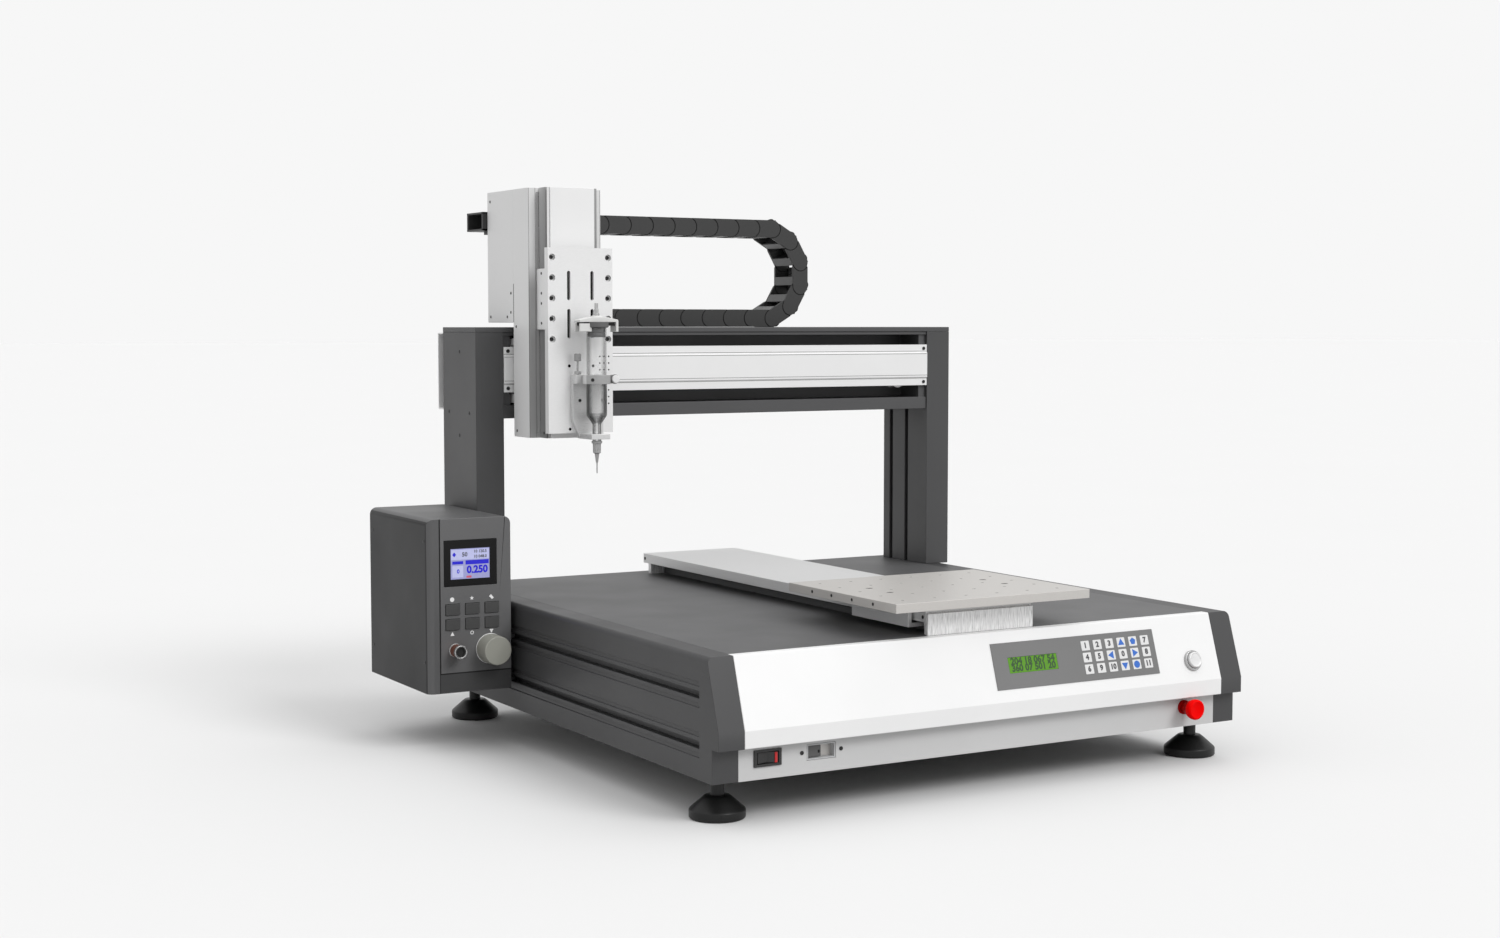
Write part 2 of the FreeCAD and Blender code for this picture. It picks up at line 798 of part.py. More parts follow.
def power_rocker():
    """Rocker with a bent face, which tips about an upright pin."""
    body = body_of("power_rocker")
    sketch = sketch_on(body, "XY_Plane", "rocker_z - rocker_height / 2")
    half = "rocker_width / 2"
    outline(sketch, [(f"rocker_x - {half} + 0.6", "strip_front + 5"),
                     (f"rocker_x - {half} + 0.6", "strip_front - 1"),
                     ("rocker_x", "strip_front + 1.4"),
                     (f"rocker_x + {half} - 1.6", "strip_front - 4"),
                     (f"rocker_x + {half} - 2.2", "strip_front + 5"),
                     ("rocker_x", "strip_front + 11")])
    pad(body, sketch, "rocker_height")


def levelling_feet():
    """Four rubber feet, each on a stud with a lock nut under the base."""
    parts = []
    for x in ("base_width / 2 - foot_inset_side", "foot_inset_side - base_width / 2"):
        for y in ("base_front + foot_inset_front", "base_back - foot_inset_back"):
            rim = rod(x, y, "0", "foot_radius", "foot_rim")
            cone = doc.addObject("Part::Cone", "cone")
            cone.setExpression("Radius1", bound("foot_radius - 1"))
            cone.setExpression("Radius2", bound("foot_neck_radius"))
            cone.setExpression("Height", bound("foot_cone"))
            move(cone, x, y, "foot_rim")
            parts.append(fused([rim, cone]))
            stud = rod(x, y, "foot_rim + foot_cone", "stud_radius",
                       "foot_height - foot_rim - foot_cone")
            nut = doc.addObject("Part::Prism", "nut")
            nut.Polygon = 6
            nut.setExpression("Circumradius", bound("stud_radius * 1.7"))
            nut.setExpression("Height", bound("lock_nut_height"))
            move(nut, x, y, "foot_height - lock_nut_height")
            parts.append(fused([stud, nut]))
    keep(group(parts), "levelling_feet")


def control_electronics():
    """Power supply and motion board on the floor of the base."""
    floor = "foot_height + tray_wall"
    supply = block("-260", "-60", floor, "110", "200", "48")
    board = block("80", "-150", f"{floor} + 8", "180", "130", "1.6")
    posts = [rod(x, y, floor, "3", "8") for x in ("90", "250") for y in ("-140", "-30")]
    chips = [block("110", "-120", f"{floor} + 9.6", "40", "40", "6"),
             block("180", "-100", f"{floor} + 9.6", "60", "22", "16")]
    keep(group([supply, fused([board] + posts + chips)]), "control_electronics")


# Work plate and its module

def y_bed():
    """Bed on the deck, with the screw's bearings and the motor bracket below."""
    body = doc.addObject("PartDesign::Body", "bed")
    sketch = sketch_on(body, "XY_Plane", "base_top")
    oblong(sketch, "-bed_width / 2", "module_start + end_plate_wall + end_block_depth",
           "bed_width", "module_end - module_start - end_plate_wall - 2 * end_block_depth - 9")
    oblong(sketch, "-bed_slot / 2", "slot_from", "bed_slot", "slot_to - slot_from")
    pad(body, sketch, "bed_wall")
    under = "base_top - deck_wall"
    hangers = []
    for y in ("bearing_front_y", "bearing_rear_y"):
        hanger = block("-22", y, "y_axis_z - 16", "44", "bearing_depth", f"{under} - y_axis_z + 16")
        bore = rod("0", f"{y} - 1", "y_axis_z", "y_screw_radius + running_clearance",
                   "bearing_depth + 2", "y")
        hangers.append(cut(hanger, [bore]))
    bracket = block("-big_motor / 2", "y_motor_y - 5", "y_axis_z - big_motor / 2", "big_motor",
                    "5", f"{under} - y_axis_z + big_motor / 2")
    hole = rod("0", "y_motor_y - 6", "y_axis_z", "pilot_radius + seat_gap", "7", "y")
    hangers.append(cut(bracket, [hole]))
    keep(group([body] + hangers), "y_bed")


def y_cover():
    """Long light cover over the rails: a shallow channel."""
    body = body_of("y_cover")
    sketch = sketch_on(body, "XZ_Plane", "-(module_start + end_plate_wall)")
    half = "cover_width / 2"
    low = "cover_top - cover_height"
    outline(sketch, [(f"-{half}", low), (f"-{half}", "cover_top"), (half, "cover_top"),
                     (half, low), (f"{half} - 3", low), (f"{half} - 3", "cover_under"),
                     (f"3 - {half}", "cover_under"), (f"3 - {half}", low)])
    pad(body, sketch, "module_end - module_start - end_plate_wall", back=True)


def y_end_plates():
    """Brushed plate at the front, and the blocks that carry the cover's ends."""
    half = "cover_width / 2 - 3 - seat_gap"
    front = block("-cover_width / 2", "module_start", "base_top", "cover_width",
                  "end_plate_wall", "end_plate_height")
    tongue = block(f"-({half})", "module_start + end_plate_wall", "base_top", f"2 * ({half})",
                   "end_block_depth", "cover_under - base_top")
    rear = block(f"-({half})", "module_end - end_block_depth - 9", "base_top", f"2 * ({half})",
                 "end_block_depth", "cover_under - base_top")
    keep(group([fused([front, tongue]), rear]), "y_end_plates")


def y_saddle():
    """Saddle that reaches round the cover, with its rail blocks and its nut."""
    body = doc.addObject("PartDesign::Body", "saddle")
    sketch = sketch_on(body, "XZ_Plane", "-saddle_y")
    leg = "bed_width / 2 + 10"
    low = "flange_top - saddle_wall"
    top = "block_top + 3"
    right = [(f"{leg} - saddle_wall", "block_top"), (f"{leg} - saddle_wall", low),
             ("skirt_out", low), ("skirt_out", "plate_height - plate_wall"),
             ("skirt_out - saddle_wall", "plate_height - plate_wall"),
             ("skirt_out - saddle_wall", "flange_top"), (leg, "flange_top"), (leg, top)]
    left = [(f"-({across})", up) for across, up in reversed(right)]
    outline(sketch, right + left)
    pad(body, sketch, "saddle_length", back=True)
    blocks = []
    for x in ("y_rail_x", "-y_rail_x"):
        for y in ("saddle_y + 6", "saddle_y + saddle_length - block_length - 6"):
            solid = block(f"{x} - block_width / 2", y, "bed_top + 3", "block_width",
                          "block_length", "block_height - 3")
            way = block(f"{x} - rail_width / 2 - seat_gap", f"{y} - 1", "bed_top",
                        "rail_width + 2 * seat_gap", "block_length + 2",
                        "rail_height + seat_gap")
            blocks.append(cut(solid, [way]))
    post = block("-nut_width / 2", "nut_y", "y_axis_z - 14", "nut_width", "nut_length",
                 "block_top - y_axis_z + 14")
    bore = rod("0", "nut_y - 1", "y_axis_z", "y_screw_radius + z_screw_clearance",
               "nut_length + 2", "y")
    keep(group([fused([body, cut(post, [bore])])] + blocks), "y_saddle")


def work_plate():
    """Work plate with a grid of tapped holes and four larger bores."""
    body = body_of("work_plate")
    sketch = sketch_on(body, "XY_Plane", "plate_height")
    oblong(sketch, "-plate_width / 2", "base_front + plate_front", "plate_width", "plate_depth")
    pad(body, sketch, "plate_wall", back=True)
    holes = sketch_on(body, "XY_Plane", "plate_height")
    middle = "(base_front + plate_front + plate_depth / 2)"
    for column in (-2.5, -1.5, -0.5, 0.5, 1.5, 2.5):
        for line in (-2, -1, 0, 1, 2):
            circle(holes, f"{column} * plate_hole_pitch", f"{middle} + {line} * plate_hole_pitch",
                   "plate_hole_radius")
    for column in (-1.88, 1.88):
        for line in (-0.5, 0.5):
            circle(holes, f"{column} * plate_hole_pitch", f"{middle} + {line} * plate_hole_pitch",
                   "plate_bore_radius")
    pocket(body, holes, "plate_wall")


def y_screw():
    """Ball screw of the work plate, with its coupling to the motor."""
    screw = rod("0", "bearing_front_y - 4", "y_axis_z", "y_screw_radius",
                "y_motor_y - bearing_front_y - 16", "y")
    coupling = rod("0", "y_motor_y - 26", "y_axis_z", "y_screw_radius + 5", "19", "y")
    keep(fused([screw, coupling]), "y_screw")


# Gantry

def slot_outline(sketch, face, centre, sign):
    """A T-slot whose mouth is in an upright face at face, cut in the sign's direction."""
    s = "+" if sign > 0 else "-"
    back = "-" if sign > 0 else "+"
    outline(sketch, [(f"{face} {back} 1", f"{centre} - slot_mouth / 2"),
                     (f"{face} {s} slot_lip", f"{centre} - slot_mouth / 2"),
                     (f"{face} {s} slot_lip", f"{centre} - slot_room / 2"),
                     (f"{face} {s} slot_depth", f"{centre} - slot_room / 2 + 4"),
                     (f"{face} {s} slot_depth", f"{centre} + slot_room / 2 - 4"),
                     (f"{face} {s} slot_lip", f"{centre} + slot_room / 2"),
                     (f"{face} {s} slot_lip", f"{centre} + slot_mouth / 2"),
                     (f"{face} {back} 1", f"{centre} + slot_mouth / 2")])


def column(side, sign):
    """Column: a profile with two T-slots in its inner face."""
    body = body_of("column_" + side)
    sketch = sketch_on(body, "XY_Plane", "base_top")
    left = "column_inner" if sign > 0 else "-column_outer"
    oblong(sketch, left, "column_front", "column_width", "column_depth")
    pad(body, sketch, "column_top - base_top")
    slots = sketch_on(body, "XY_Plane", "column_top")
    face = "column_inner" if sign > 0 else "-column_inner"
    for centre in ("column_rear - slot_rear", "column_rear - slot_rear - slot_pitch"):
        slot_outline(slots, face, f"({centre})", sign)
    pocket(body, slots, "column_top - base_top")


def beam():
    """Beam between the columns: flanges, a web, a hollow foot and two end blocks."""
    body = doc.addObject("PartDesign::Body", "beam_profile")
    sketch = sketch_on(body, "YZ_Plane")
    foot_top = "beam_bottom + beam_foot"
    outline(sketch, [("beam_front", "beam_bottom"), ("column_rear", "beam_bottom"),
                     ("column_rear", foot_top), ("web_back", foot_top),
                     ("web_back", "column_top - beam_flange"),
                     ("column_rear", "column_top - beam_flange"), ("column_rear", "column_top"),
                     ("beam_front", "column_top"), ("beam_front", "column_top - beam_flange"),
                     ("web_y", "column_top - beam_flange"), ("web_y", foot_top),
                     ("beam_front", foot_top)])
    outline(sketch, [("beam_front + 4", "beam_bottom + 4"), ("column_rear - 4", "beam_bottom + 4"),
                     ("column_rear - 4", f"{foot_top} - 4"), ("beam_front + 4", f"{foot_top} - 4")])
    pad(body, sketch, "2 * column_inner", middle=True)
    hole = rod("pulley_x", "web_y - 1", "belt_z", "pilot_radius + seat_gap", "beam_web + 2", "y")
    ends = []
    for x in ("-column_inner", "column_inner - beam_end_block"):
        ends.append(block(x, "column_front + front_cover_wall", foot_top, "beam_end_block",
                          "web_y - column_front - front_cover_wall",
                          f"column_top - beam_flange - ({foot_top})"))
    pin = rod("-pulley_x", "belt_y - 4", "belt_z", "axle_radius", "web_y - belt_y + 4", "y")
    keep(fused([cut(body, [hole]), pin] + ends), "beam")


def beam_covers():
    """Top plate, white front cover with its steps, and white rear cover."""
    keep(block("-column_outer", "column_front", "column_top", "2 * column_outer",
               "column_depth", "top_plate_wall"), "beam_top_plate")
    body = body_of("beam_front_cover")
    sketch = sketch_on(body, "YZ_Plane")
    low = "front_cover_bottom"
    high = "front_cover_bottom + front_cover_height"
    proud = "column_front - front_cover_step"
    inner = "column_front + front_cover_wall"
    outline(sketch, [(inner, low), ("column_front", low),
                     ("column_front", f"{low} + front_cover_band"),
                     (proud, f"{low} + front_cover_band + 1"),
                     (proud, f"{high} - front_cover_band - 1"),
                     ("column_front", f"{high} - front_cover_band"), ("column_front", high),
                     (inner, high), (inner, f"{high} - 2"), ("column_front + 2", f"{high} - 2"),
                     ("column_front + 2", f"{low} + 2"), (inner, f"{low} + 2")])
    pad(body, sketch, "2 * column_inner - 2 * seat_gap", middle=True)
    rear = body_of("beam_rear_cover")
    profile = sketch_on(rear, "YZ_Plane")
    low = "rear_cover_bottom"
    high = "rear_cover_bottom + rear_cover_height"
    outline(profile, [("column_rear", low), ("base_back", low), ("base_back", high),
                      ("column_rear", high), ("column_rear", f"{high} - rear_cover_wall"),
                      ("base_back - rear_cover_wall", f"{high} - rear_cover_wall"),
                      ("base_back - rear_cover_wall", f"{low} + rear_cover_wall"),
                      ("column_rear", f"{low} + rear_cover_wall")])
    pad(rear, profile, "2 * column_outer", middle=True)


def guide_rails():
    """Rails of the work plate on its bed, and the rail of the head on the web."""
    rails = []
    for x in ("y_rail_x", "-y_rail_x"):
        rails.append(block(f"{x} - rail_width / 2", "module_start + end_plate_wall + end_block_depth",
                           "bed_top", "rail_width",
                           "module_end - module_start - end_plate_wall - 2 * end_block_depth - 9",
                           "rail_height"))
    rails.append(block("-column_inner + beam_end_block + 4", "rail_front",
                       "x_rail_z - x_rail_width / 2",
                       "2 * (column_inner - beam_end_block - 4)", "x_rail_height", "x_rail_width"))
    keep(group(rails), "guide_rails")


def stepper_motors():
    """Motor of the work plate's screw, and motor of the head's belt."""
    big = block("-big_motor / 2", "y_motor_y", "y_axis_z - big_motor / 2", "big_motor",
                "big_motor_length", "big_motor")
    big_pilot = rod("0", "y_motor_y - pilot_height", "y_axis_z", "pilot_radius",
                    "pilot_height + 1", "y")
    small = block("pulley_x - small_motor / 2", "web_back", "belt_z - small_motor / 2",
                  "small_motor", "small_motor_length", "small_motor")
    small_pilot = rod("pulley_x", "web_back - pilot_height", "belt_z", "pilot_radius",
                      "pilot_height + 1", "y")
    keep(group([fused([big, big_pilot]), fused([small, small_pilot])]), "stepper_motors")


def pulleys():
    """Drive pulley on the motor's shaft, idler on its pin, and the belt round both."""
    turned("x_drive_pulley",
           [("0", "-2"), ("pulley_radius + 2", "-2"), ("pulley_radius + 2", "-0.5"),
            ("pulley_radius - belt_wall", "-0.5"), ("pulley_radius - belt_wall", "belt_width + 0.5"),
            ("pulley_radius + 2", "belt_width + 0.5"), ("pulley_radius + 2", "belt_width + 2"),
            ("5", "belt_width + 2"), ("5", "belt_width + belt_gap"), ("2.5", "belt_width + belt_gap"),
            ("2.5", "belt_width + belt_gap + beam_web - pilot_height - 1"),
            ("0", "belt_width + belt_gap + beam_web - pilot_height - 1")],
           "pulley_x", "belt_y", "belt_z", "y")
    turned("x_idler_pulley",
           [("axle_radius + running_clearance", "-2"), ("pulley_radius + 2", "-2"),
            ("pulley_radius + 2", "-0.5"), ("pulley_radius - belt_wall", "-0.5"),
            ("pulley_radius - belt_wall", "belt_width + 0.5"),
            ("pulley_radius + 2", "belt_width + 0.5"), ("pulley_radius + 2", "belt_width + 2"),
            ("axle_radius + running_clearance", "belt_width + 2")],
           "-pulley_x", "belt_y", "belt_z", "y")
    loop = []
    for radius in ("pulley_radius + seat_gap", "pulley_radius + seat_gap - belt_wall"):
        ends = [rod(x, "belt_y", "belt_z", radius, "belt_width", "y")
                for x in ("pulley_x", "-pulley_x")]
        ends.append(block("-pulley_x", "belt_y", f"belt_z - ({radius})", "2 * pulley_x",
                          "belt_width", f"2 * ({radius})"))
        loop.append(fused(ends))
    keep(cut(loop[0], [loop[1]]), "x_belt")


# Head

def x_saddle():
    """Saddle round the front cover: plate behind it, two arms and a face plate."""
    body = doc.addObject("PartDesign::Body", "saddle_frame")
    sketch = sketch_on(body, "YZ_Plane", "head_x - x_saddle_width / 2")
    low = "(beam_bottom + beam_foot + 3)"
    high = "(column_top - beam_flange - 3.5)"
    under = "(front_cover_bottom - 2)"
    over = "(front_cover_bottom + front_cover_height + 2)"
    oblong(sketch, "head_back", low, "saddle_back - head_back", f"{high} - {low}")
    oblong(sketch, "head_back + saddle_face_wall", under,
           "saddle_plate_y - head_back - saddle_face_wall", f"{over} - {under}")
    pad(body, sketch, "x_saddle_width")
    solid = block("head_x - 38", "saddle_back", "x_rail_z - 22", "76", "27", "44")
    way = block("head_x - 39", "rail_front - seat_gap", "x_rail_z - x_rail_width / 2 - seat_gap",
                "78", "x_rail_height + 2", "x_rail_width + 2 * seat_gap")
    run_top = "belt_z + pulley_radius + seat_gap"
    jaws = [block("head_x - 12", "saddle_back - 1", z, "24", "belt_y + belt_width - saddle_back",
                  "4.5")
            for z in (f"{run_top} + seat_gap", f"{run_top} - belt_wall - seat_gap - 4.5")]
    keep(fused([body, cut(solid, [way])] + jaws), "x_saddle")


def z_housing():
    """Housing of the Z stage: open channel with lips, shelves and closed ends."""
    body = doc.addObject("PartDesign::Body", "housing")
    sketch = sketch_on(body, "XY_Plane", "head_bottom")
    half = "head_width / 2"
    room = "(head_width / 2 - head_side_wall)"
    gap = "(head_width / 2 - head_lip)"
    outline(sketch, [(f"head_x - {half}", "head_front"), (f"head_x - {half}", "head_back"),
                     (f"head_x + {half}", "head_back"), (f"head_x + {half}", "head_front"),
                     (f"head_x + {gap}", "head_front"),
                     (f"head_x + {gap}", "head_front + head_lip_wall"),
                     (f"head_x + {room}", "head_front + head_lip_wall"),
                     (f"head_x + {room}", "head_back - head_back_wall"),
                     (f"head_x - {room}", "head_back - head_back_wall"),
                     (f"head_x - {room}", "head_front + head_lip_wall"),
                     (f"head_x - {gap}", "head_front + head_lip_wall"),
                     (f"head_x - {gap}", "head_front")])
    pad(body, sketch, "head_top - head_bottom")
    left = f"head_x - {half}"
    ends = [block(left, "head_front", z, "head_width", "head_depth", "head_end_wall")
            for z in ("head_bottom", "head_top - head_end_wall")]
    shelf_y = "z_axis_y - 11"
    deep = "head_back - head_back_wall - z_axis_y + 11"
    carriage_top = "carriage_bottom + carriage_height"
    low = block("head_x - 20", shelf_y, "head_bottom + head_end_wall", "40", deep, "10")
    high = block("head_x - 20", shelf_y, f"{carriage_top} + 16", "40", deep, "10")
    seat = block("head_x - 24", shelf_y, f"{carriage_top} + 50", "48", deep, "5")
    bore = rod("head_x", "z_axis_y", "head_bottom + head_end_wall",
               "z_screw_radius + running_clearance", f"{carriage_top} + 27 - head_bottom")
    wide = rod("head_x", "z_axis_y", f"{carriage_top} + 49", "pilot_radius + seat_gap", "8")
    keep(cut(fused([body, low, high, seat] + ends), [bore, wide]), "z_housing")


def z_front_cover():
    """Cover in front of the housing, which the carriage straddles."""
    body = body_of("z_front_cover")
    sketch = sketch_on(body, "XY_Plane", "head_bottom")
    half = "nose_width / 2"
    face = "nose_face_width / 2"
    outline(sketch, [(f"head_x - {half}", "head_front"), (f"head_x - {half}", "nose_front"),
                     (f"head_x - {face}", "nose_front"),
                     (f"head_x - {face}", "nose_front - nose_face_wall"),
                     (f"head_x + {face}", "nose_front - nose_face_wall"),
                     (f"head_x + {face}", "nose_front"), (f"head_x + {half}", "nose_front"),
                     (f"head_x + {half}", "head_front")])
    pad(body, sketch, "head_top - head_bottom")
    hollow = sketch_on(body, "XZ_Plane", "-head_front")
    oblong(hollow, f"head_x - {half} + nose_wall", "head_bottom + head_end_wall",
           "nose_width - 2 * nose_wall", "head_top - head_bottom - 2 * head_end_wall")
    pocket(body, hollow, "nose_depth - nose_wall", back=True)
    doc.recompute()


def head_cover():
    """Box behind the housing, over the beam: it hides the cables of the head."""
    shell = block("head_x - head_width / 2", "head_back", "head_cover_bottom", "head_width",
                  "head_cover_depth", "head_top - head_cover_bottom")
    hollow = block("head_x - head_width / 2 + head_cover_wall", "head_back - 1",
                   "head_cover_bottom + head_cover_wall", "head_width - 2 * head_cover_wall",
                   "head_cover_depth - head_cover_wall + 1",
                   "head_top - head_cover_bottom - 2 * head_cover_wall")
    keep(cut(shell, [hollow]), "head_cover")


def z_drive():
    """Motor, screw with its coupling, and rails of the Z stage."""
    carriage_top = "carriage_bottom + carriage_height"
    seat_top = f"{carriage_top} + 55"
    motor = block("head_x - small_motor / 2", "z_axis_y - small_motor / 2", seat_top,
                  "small_motor", "small_motor", "40")
    pilot = rod("head_x", "z_axis_y", f"{seat_top} - pilot_height", "pilot_radius",
                "pilot_height + 1")
    keep(fused([motor, pilot]), "z_motor")
    screw = rod("head_x", "z_axis_y", "head_bottom + head_end_wall + 1", "z_screw_radius",
                f"{carriage_top} + 48 - head_bottom - head_end_wall - 1")
    coupling = rod("head_x", "z_axis_y", f"{carriage_top} + 28", "z_screw_radius + 4", "20")
    keep(fused([screw, coupling]), "z_screw")
    rails = []
    for x in ("z_rail_x", "-z_rail_x"):
        rails.append(block(f"head_x + {x} - rail_width / 2",
                           "head_back - head_back_wall - rail_height",
                           "head_bottom + head_end_wall + 14", "rail_width", "rail_height",
                           f"{carriage_top} + 12 - head_bottom - head_end_wall - 14"))
    keep(group(rails), "z_rails")


# Z stage

def z_carriage():
    """Carriage in the housing, with arms that reach forwards beside the cover."""
    inner = block("head_x - arm_in - arm_wall", "z_axis_y - carriage_wall / 2",
                  "carriage_bottom", "2 * (arm_in + arm_wall)", "carriage_wall",
                  "carriage_height")
    bore = rod("head_x", "z_axis_y", "carriage_bottom - 1", "z_screw_radius + z_screw_clearance",
               "carriage_height + 2")
    parts = [cut(inner, [bore])]
    for sign in ("+", "-"):
        x = "head_x + arm_in" if sign == "+" else "head_x - arm_in - arm_wall"
        parts.append(block(x, "stage_back", "carriage_bottom", "arm_wall",
                           "z_axis_y - stage_back", "carriage_height"))
        x = "head_x + arm_in" if sign == "+" else "head_x - arm_in - arm_block_wall"
        parts.append(block(x, "stage_back", "carriage_bottom", "arm_block_wall",
                           "arm_block_depth", "carriage_height"))
        centre = f"head_x {sign} z_rail_x"
        front = "z_axis_y + carriage_wall / 2 - 1"
        pads = block(f"{centre} - block_width / 2", front, "carriage_bottom + 4", "block_width",
                     f"head_back - head_back_wall - 3 - ({front})", "carriage_height - 8")
        way = block(f"{centre} - rail_width / 2 - seat_gap",
                    "head_back - head_back_wall - rail_height - seat_gap", "carriage_bottom",
                    "rail_width + 2 * seat_gap", "rail_height + 2", "carriage_height")
        parts.append(cut(pads, [way]))
    keep(fused(parts), "z_carriage")


def tool_plate():
    """Front plate with its edge screws' holes, four slots and a few tapped holes."""
    body = body_of("tool_plate")
    sketch = sketch_on(body, "XZ_Plane", "-plate_face")
    oblong(sketch, "head_x - tool_plate_width / 2", "tool_plate_bottom", "tool_plate_width",
           "tool_plate_height")
    pad(body, sketch, "tool_plate_wall", back=True)
    holes = sketch_on(body, "XZ_Plane", "-plate_face")
    top = "tool_plate_bottom + tool_plate_height"
    for x in ("head_x - tool_plate_width / 2 + tool_screw_inset",
              "head_x + tool_plate_width / 2 - tool_screw_inset"):
        for k in range(5):
            circle(holes, x, f"{top} - 12 - {k} * tool_screw_pitch", "tool_screw_radius")
    pocket(body, holes, "tool_plate_wall")
    made.remove(body)
    body.Label = "tool_plate_blank"
    slots = []
    for x in ("head_x - tool_slot_spacing / 2", "head_x + tool_slot_spacing / 2"):
        for k in (0, 1):
            low = f"{top} - 29 - tool_slot_length - {k} * tool_slot_step"
            slots.append(long_hole(x, "plate_face - 1", low, "tool_slot_width / 2",
                                   "tool_slot_length", "tool_plate_wall + 2"))
    keep(cut(body, slots), "tool_plate")


def syringe_bracket():
    """Holder: back plate with a cut corner, foot shelf and split clamp ring."""
    body = doc.addObject("PartDesign::Body", "bracket")
    sketch = sketch_on(body, "XZ_Plane", "-(plate_face - holder_wall)")
    left = "tool_x - holder_left"
    right = "tool_x + holder_right"
    outline(sketch, [(f"{left} + 10", "holder_bottom"), (right, "holder_bottom"),
                     (right, "ring_bottom + ring_height"), (left, "ring_bottom + ring_height"),
                     (left, "holder_bottom + 24")])
    pad(body, sketch, "holder_wall", back=True)
    shelf = block("tool_x - 13", "tool_y - 12", "holder_bottom", "26",
                  "syringe_reach - holder_wall + 13", "holder_shelf")
    arm = block(left, "tool_y + barrel_radius + ring_wall - 4", "ring_bottom",
                "holder_left + 6", "syringe_reach - holder_wall - barrel_radius - ring_wall + 5",
                "ring_height")
    ring = rod("tool_x", "tool_y", "ring_bottom", "barrel_radius + ring_gap + ring_wall",
               "ring_height")
    ear = block("tool_x + barrel_radius - 1", "tool_y + 4", "ring_bottom", "17", "12",
                "ring_height")
    hollow = rod("tool_x", "tool_y", "ring_bottom - 1", "barrel_radius + ring_gap",
                 "ring_height + 2")
    luer = rod("tool_x", "tool_y", "holder_bottom - 1", "luer_radius + seat_gap",
               "holder_shelf + 2")
    split = block("tool_x + 6", "tool_y + 9.2", "ring_bottom - 1", "26", "1.6",
                  "ring_height + 2")
    pinch = rod("tool_x + clamp_reach", "tool_y + 3", "ring_bottom + ring_height / 2",
                "clamp_stem + running_clearance", "14", "y")
    upright = rod("tool_x - holder_left + thumb_inset", "plate_face - holder_wall - thumb_inset",
                  "ring_bottom + 2", "clamp_stem + running_clearance", "ring_height")
    keep(cut(fused([body, shelf, arm, ring, ear]), [hollow, luer, split, pinch, upright]),
         "syringe_bracket")


def syringe():
    """Clear barrel with its cone and luer, adapter on top, and needle below."""
    turned("syringe_barrel",
           [("barrel_radius", "barrel_top"), ("barrel_radius", "barrel_bottom"),
            ("luer_radius", "cone_bottom"), ("luer_radius", "luer_bottom"),
            ("luer_radius - 2.5", "luer_bottom"), ("luer_radius - 2.5", "cone_bottom + 2"),
            ("barrel_radius - barrel_wall", "barrel_bottom + 2"),
            ("barrel_radius - barrel_wall", "barrel_top")],
           "tool_x", "tool_y", "0")
    rim = block("tool_x - adapter_length / 2", "tool_y - adapter_width / 2", "barrel_top + 5.5",
                "adapter_length", "adapter_width", "adapter_height")
    hooks = [block(x, "tool_y - adapter_width / 2", "barrel_top - 2.5", "5", "adapter_width", "9")
             for x in ("tool_x - adapter_length / 2", "tool_x + adapter_length / 2 - 5")]
    cap = rod("tool_x", "tool_y", "barrel_top", "adapter_cap_radius", "adapter_height + 5.5")
    plug = rod("tool_x", "tool_y", "barrel_top - 12", "barrel_radius - barrel_wall - seat_gap", "13")
    fitting = rod("tool_x", "tool_y", "barrel_top + 5.5 + adapter_height", "fitting_radius",
                  "fitting_height - 4")
    bore = rod("tool_x", "tool_y", "barrel_top - 14", "1.2", "fitting_height + 40")
    keep(cut(fused([rim, cap, plug, fitting] + hooks), [bore]), "syringe_adapter")
    turned("dispensing_needle",
           [("0", "0"), ("needle_radius", "0"), ("needle_radius", "needle_length"),
            ("hub_radius - 2", "needle_length + needle_cone"),
            ("hub_radius", "needle_length + needle_cone"),
            ("hub_radius", "needle_length + needle_cone + hub_length - 3"),
            ("hub_flange_radius", "needle_length + needle_cone + hub_length - 3"),
            ("hub_flange_radius", "needle_length + needle_cone + hub_length"),
            ("0", "needle_length + needle_cone + hub_length")],
           "tool_x", "tool_y",
           "luer_bottom - needle_length - needle_cone - hub_length - seat_gap")


def clamp_screws():
    """Knob that pinches the ring, and upright thumb screw on the arm."""
    turned("clamp_knob",
           [("0", "-10"), ("clamp_stem", "-10"), ("clamp_stem", "1"), ("knob_radius - 1.5", "1"),
            ("knob_radius", "2.5"), ("knob_radius", "knob_length - 1"),
            ("knob_radius - 1", "knob_length"), ("0", "knob_length")],
           "tool_x + clamp_reach", "tool_y + 4 - seat_gap", "ring_bottom + ring_height / 2",
           "front")
    turned("thumb_screw",
           [("0", "-8"), ("clamp_stem", "-8"), ("clamp_stem", "0"), ("4.8", "0"), ("4.8", "3.4"),
            ("1.8", "3.4"),
            ("1.8", "3.4 + thumb_stem"), ("thumb_radius", "3.4 + thumb_stem"),
            ("thumb_radius", "3.4 + thumb_stem + thumb_head"),
            ("0", "3.4 + thumb_stem + thumb_head")],
           "tool_x - holder_left + thumb_inset", "plate_face - holder_wall - thumb_inset",
           "ring_bottom + ring_height + seat_gap")


# Energy chain

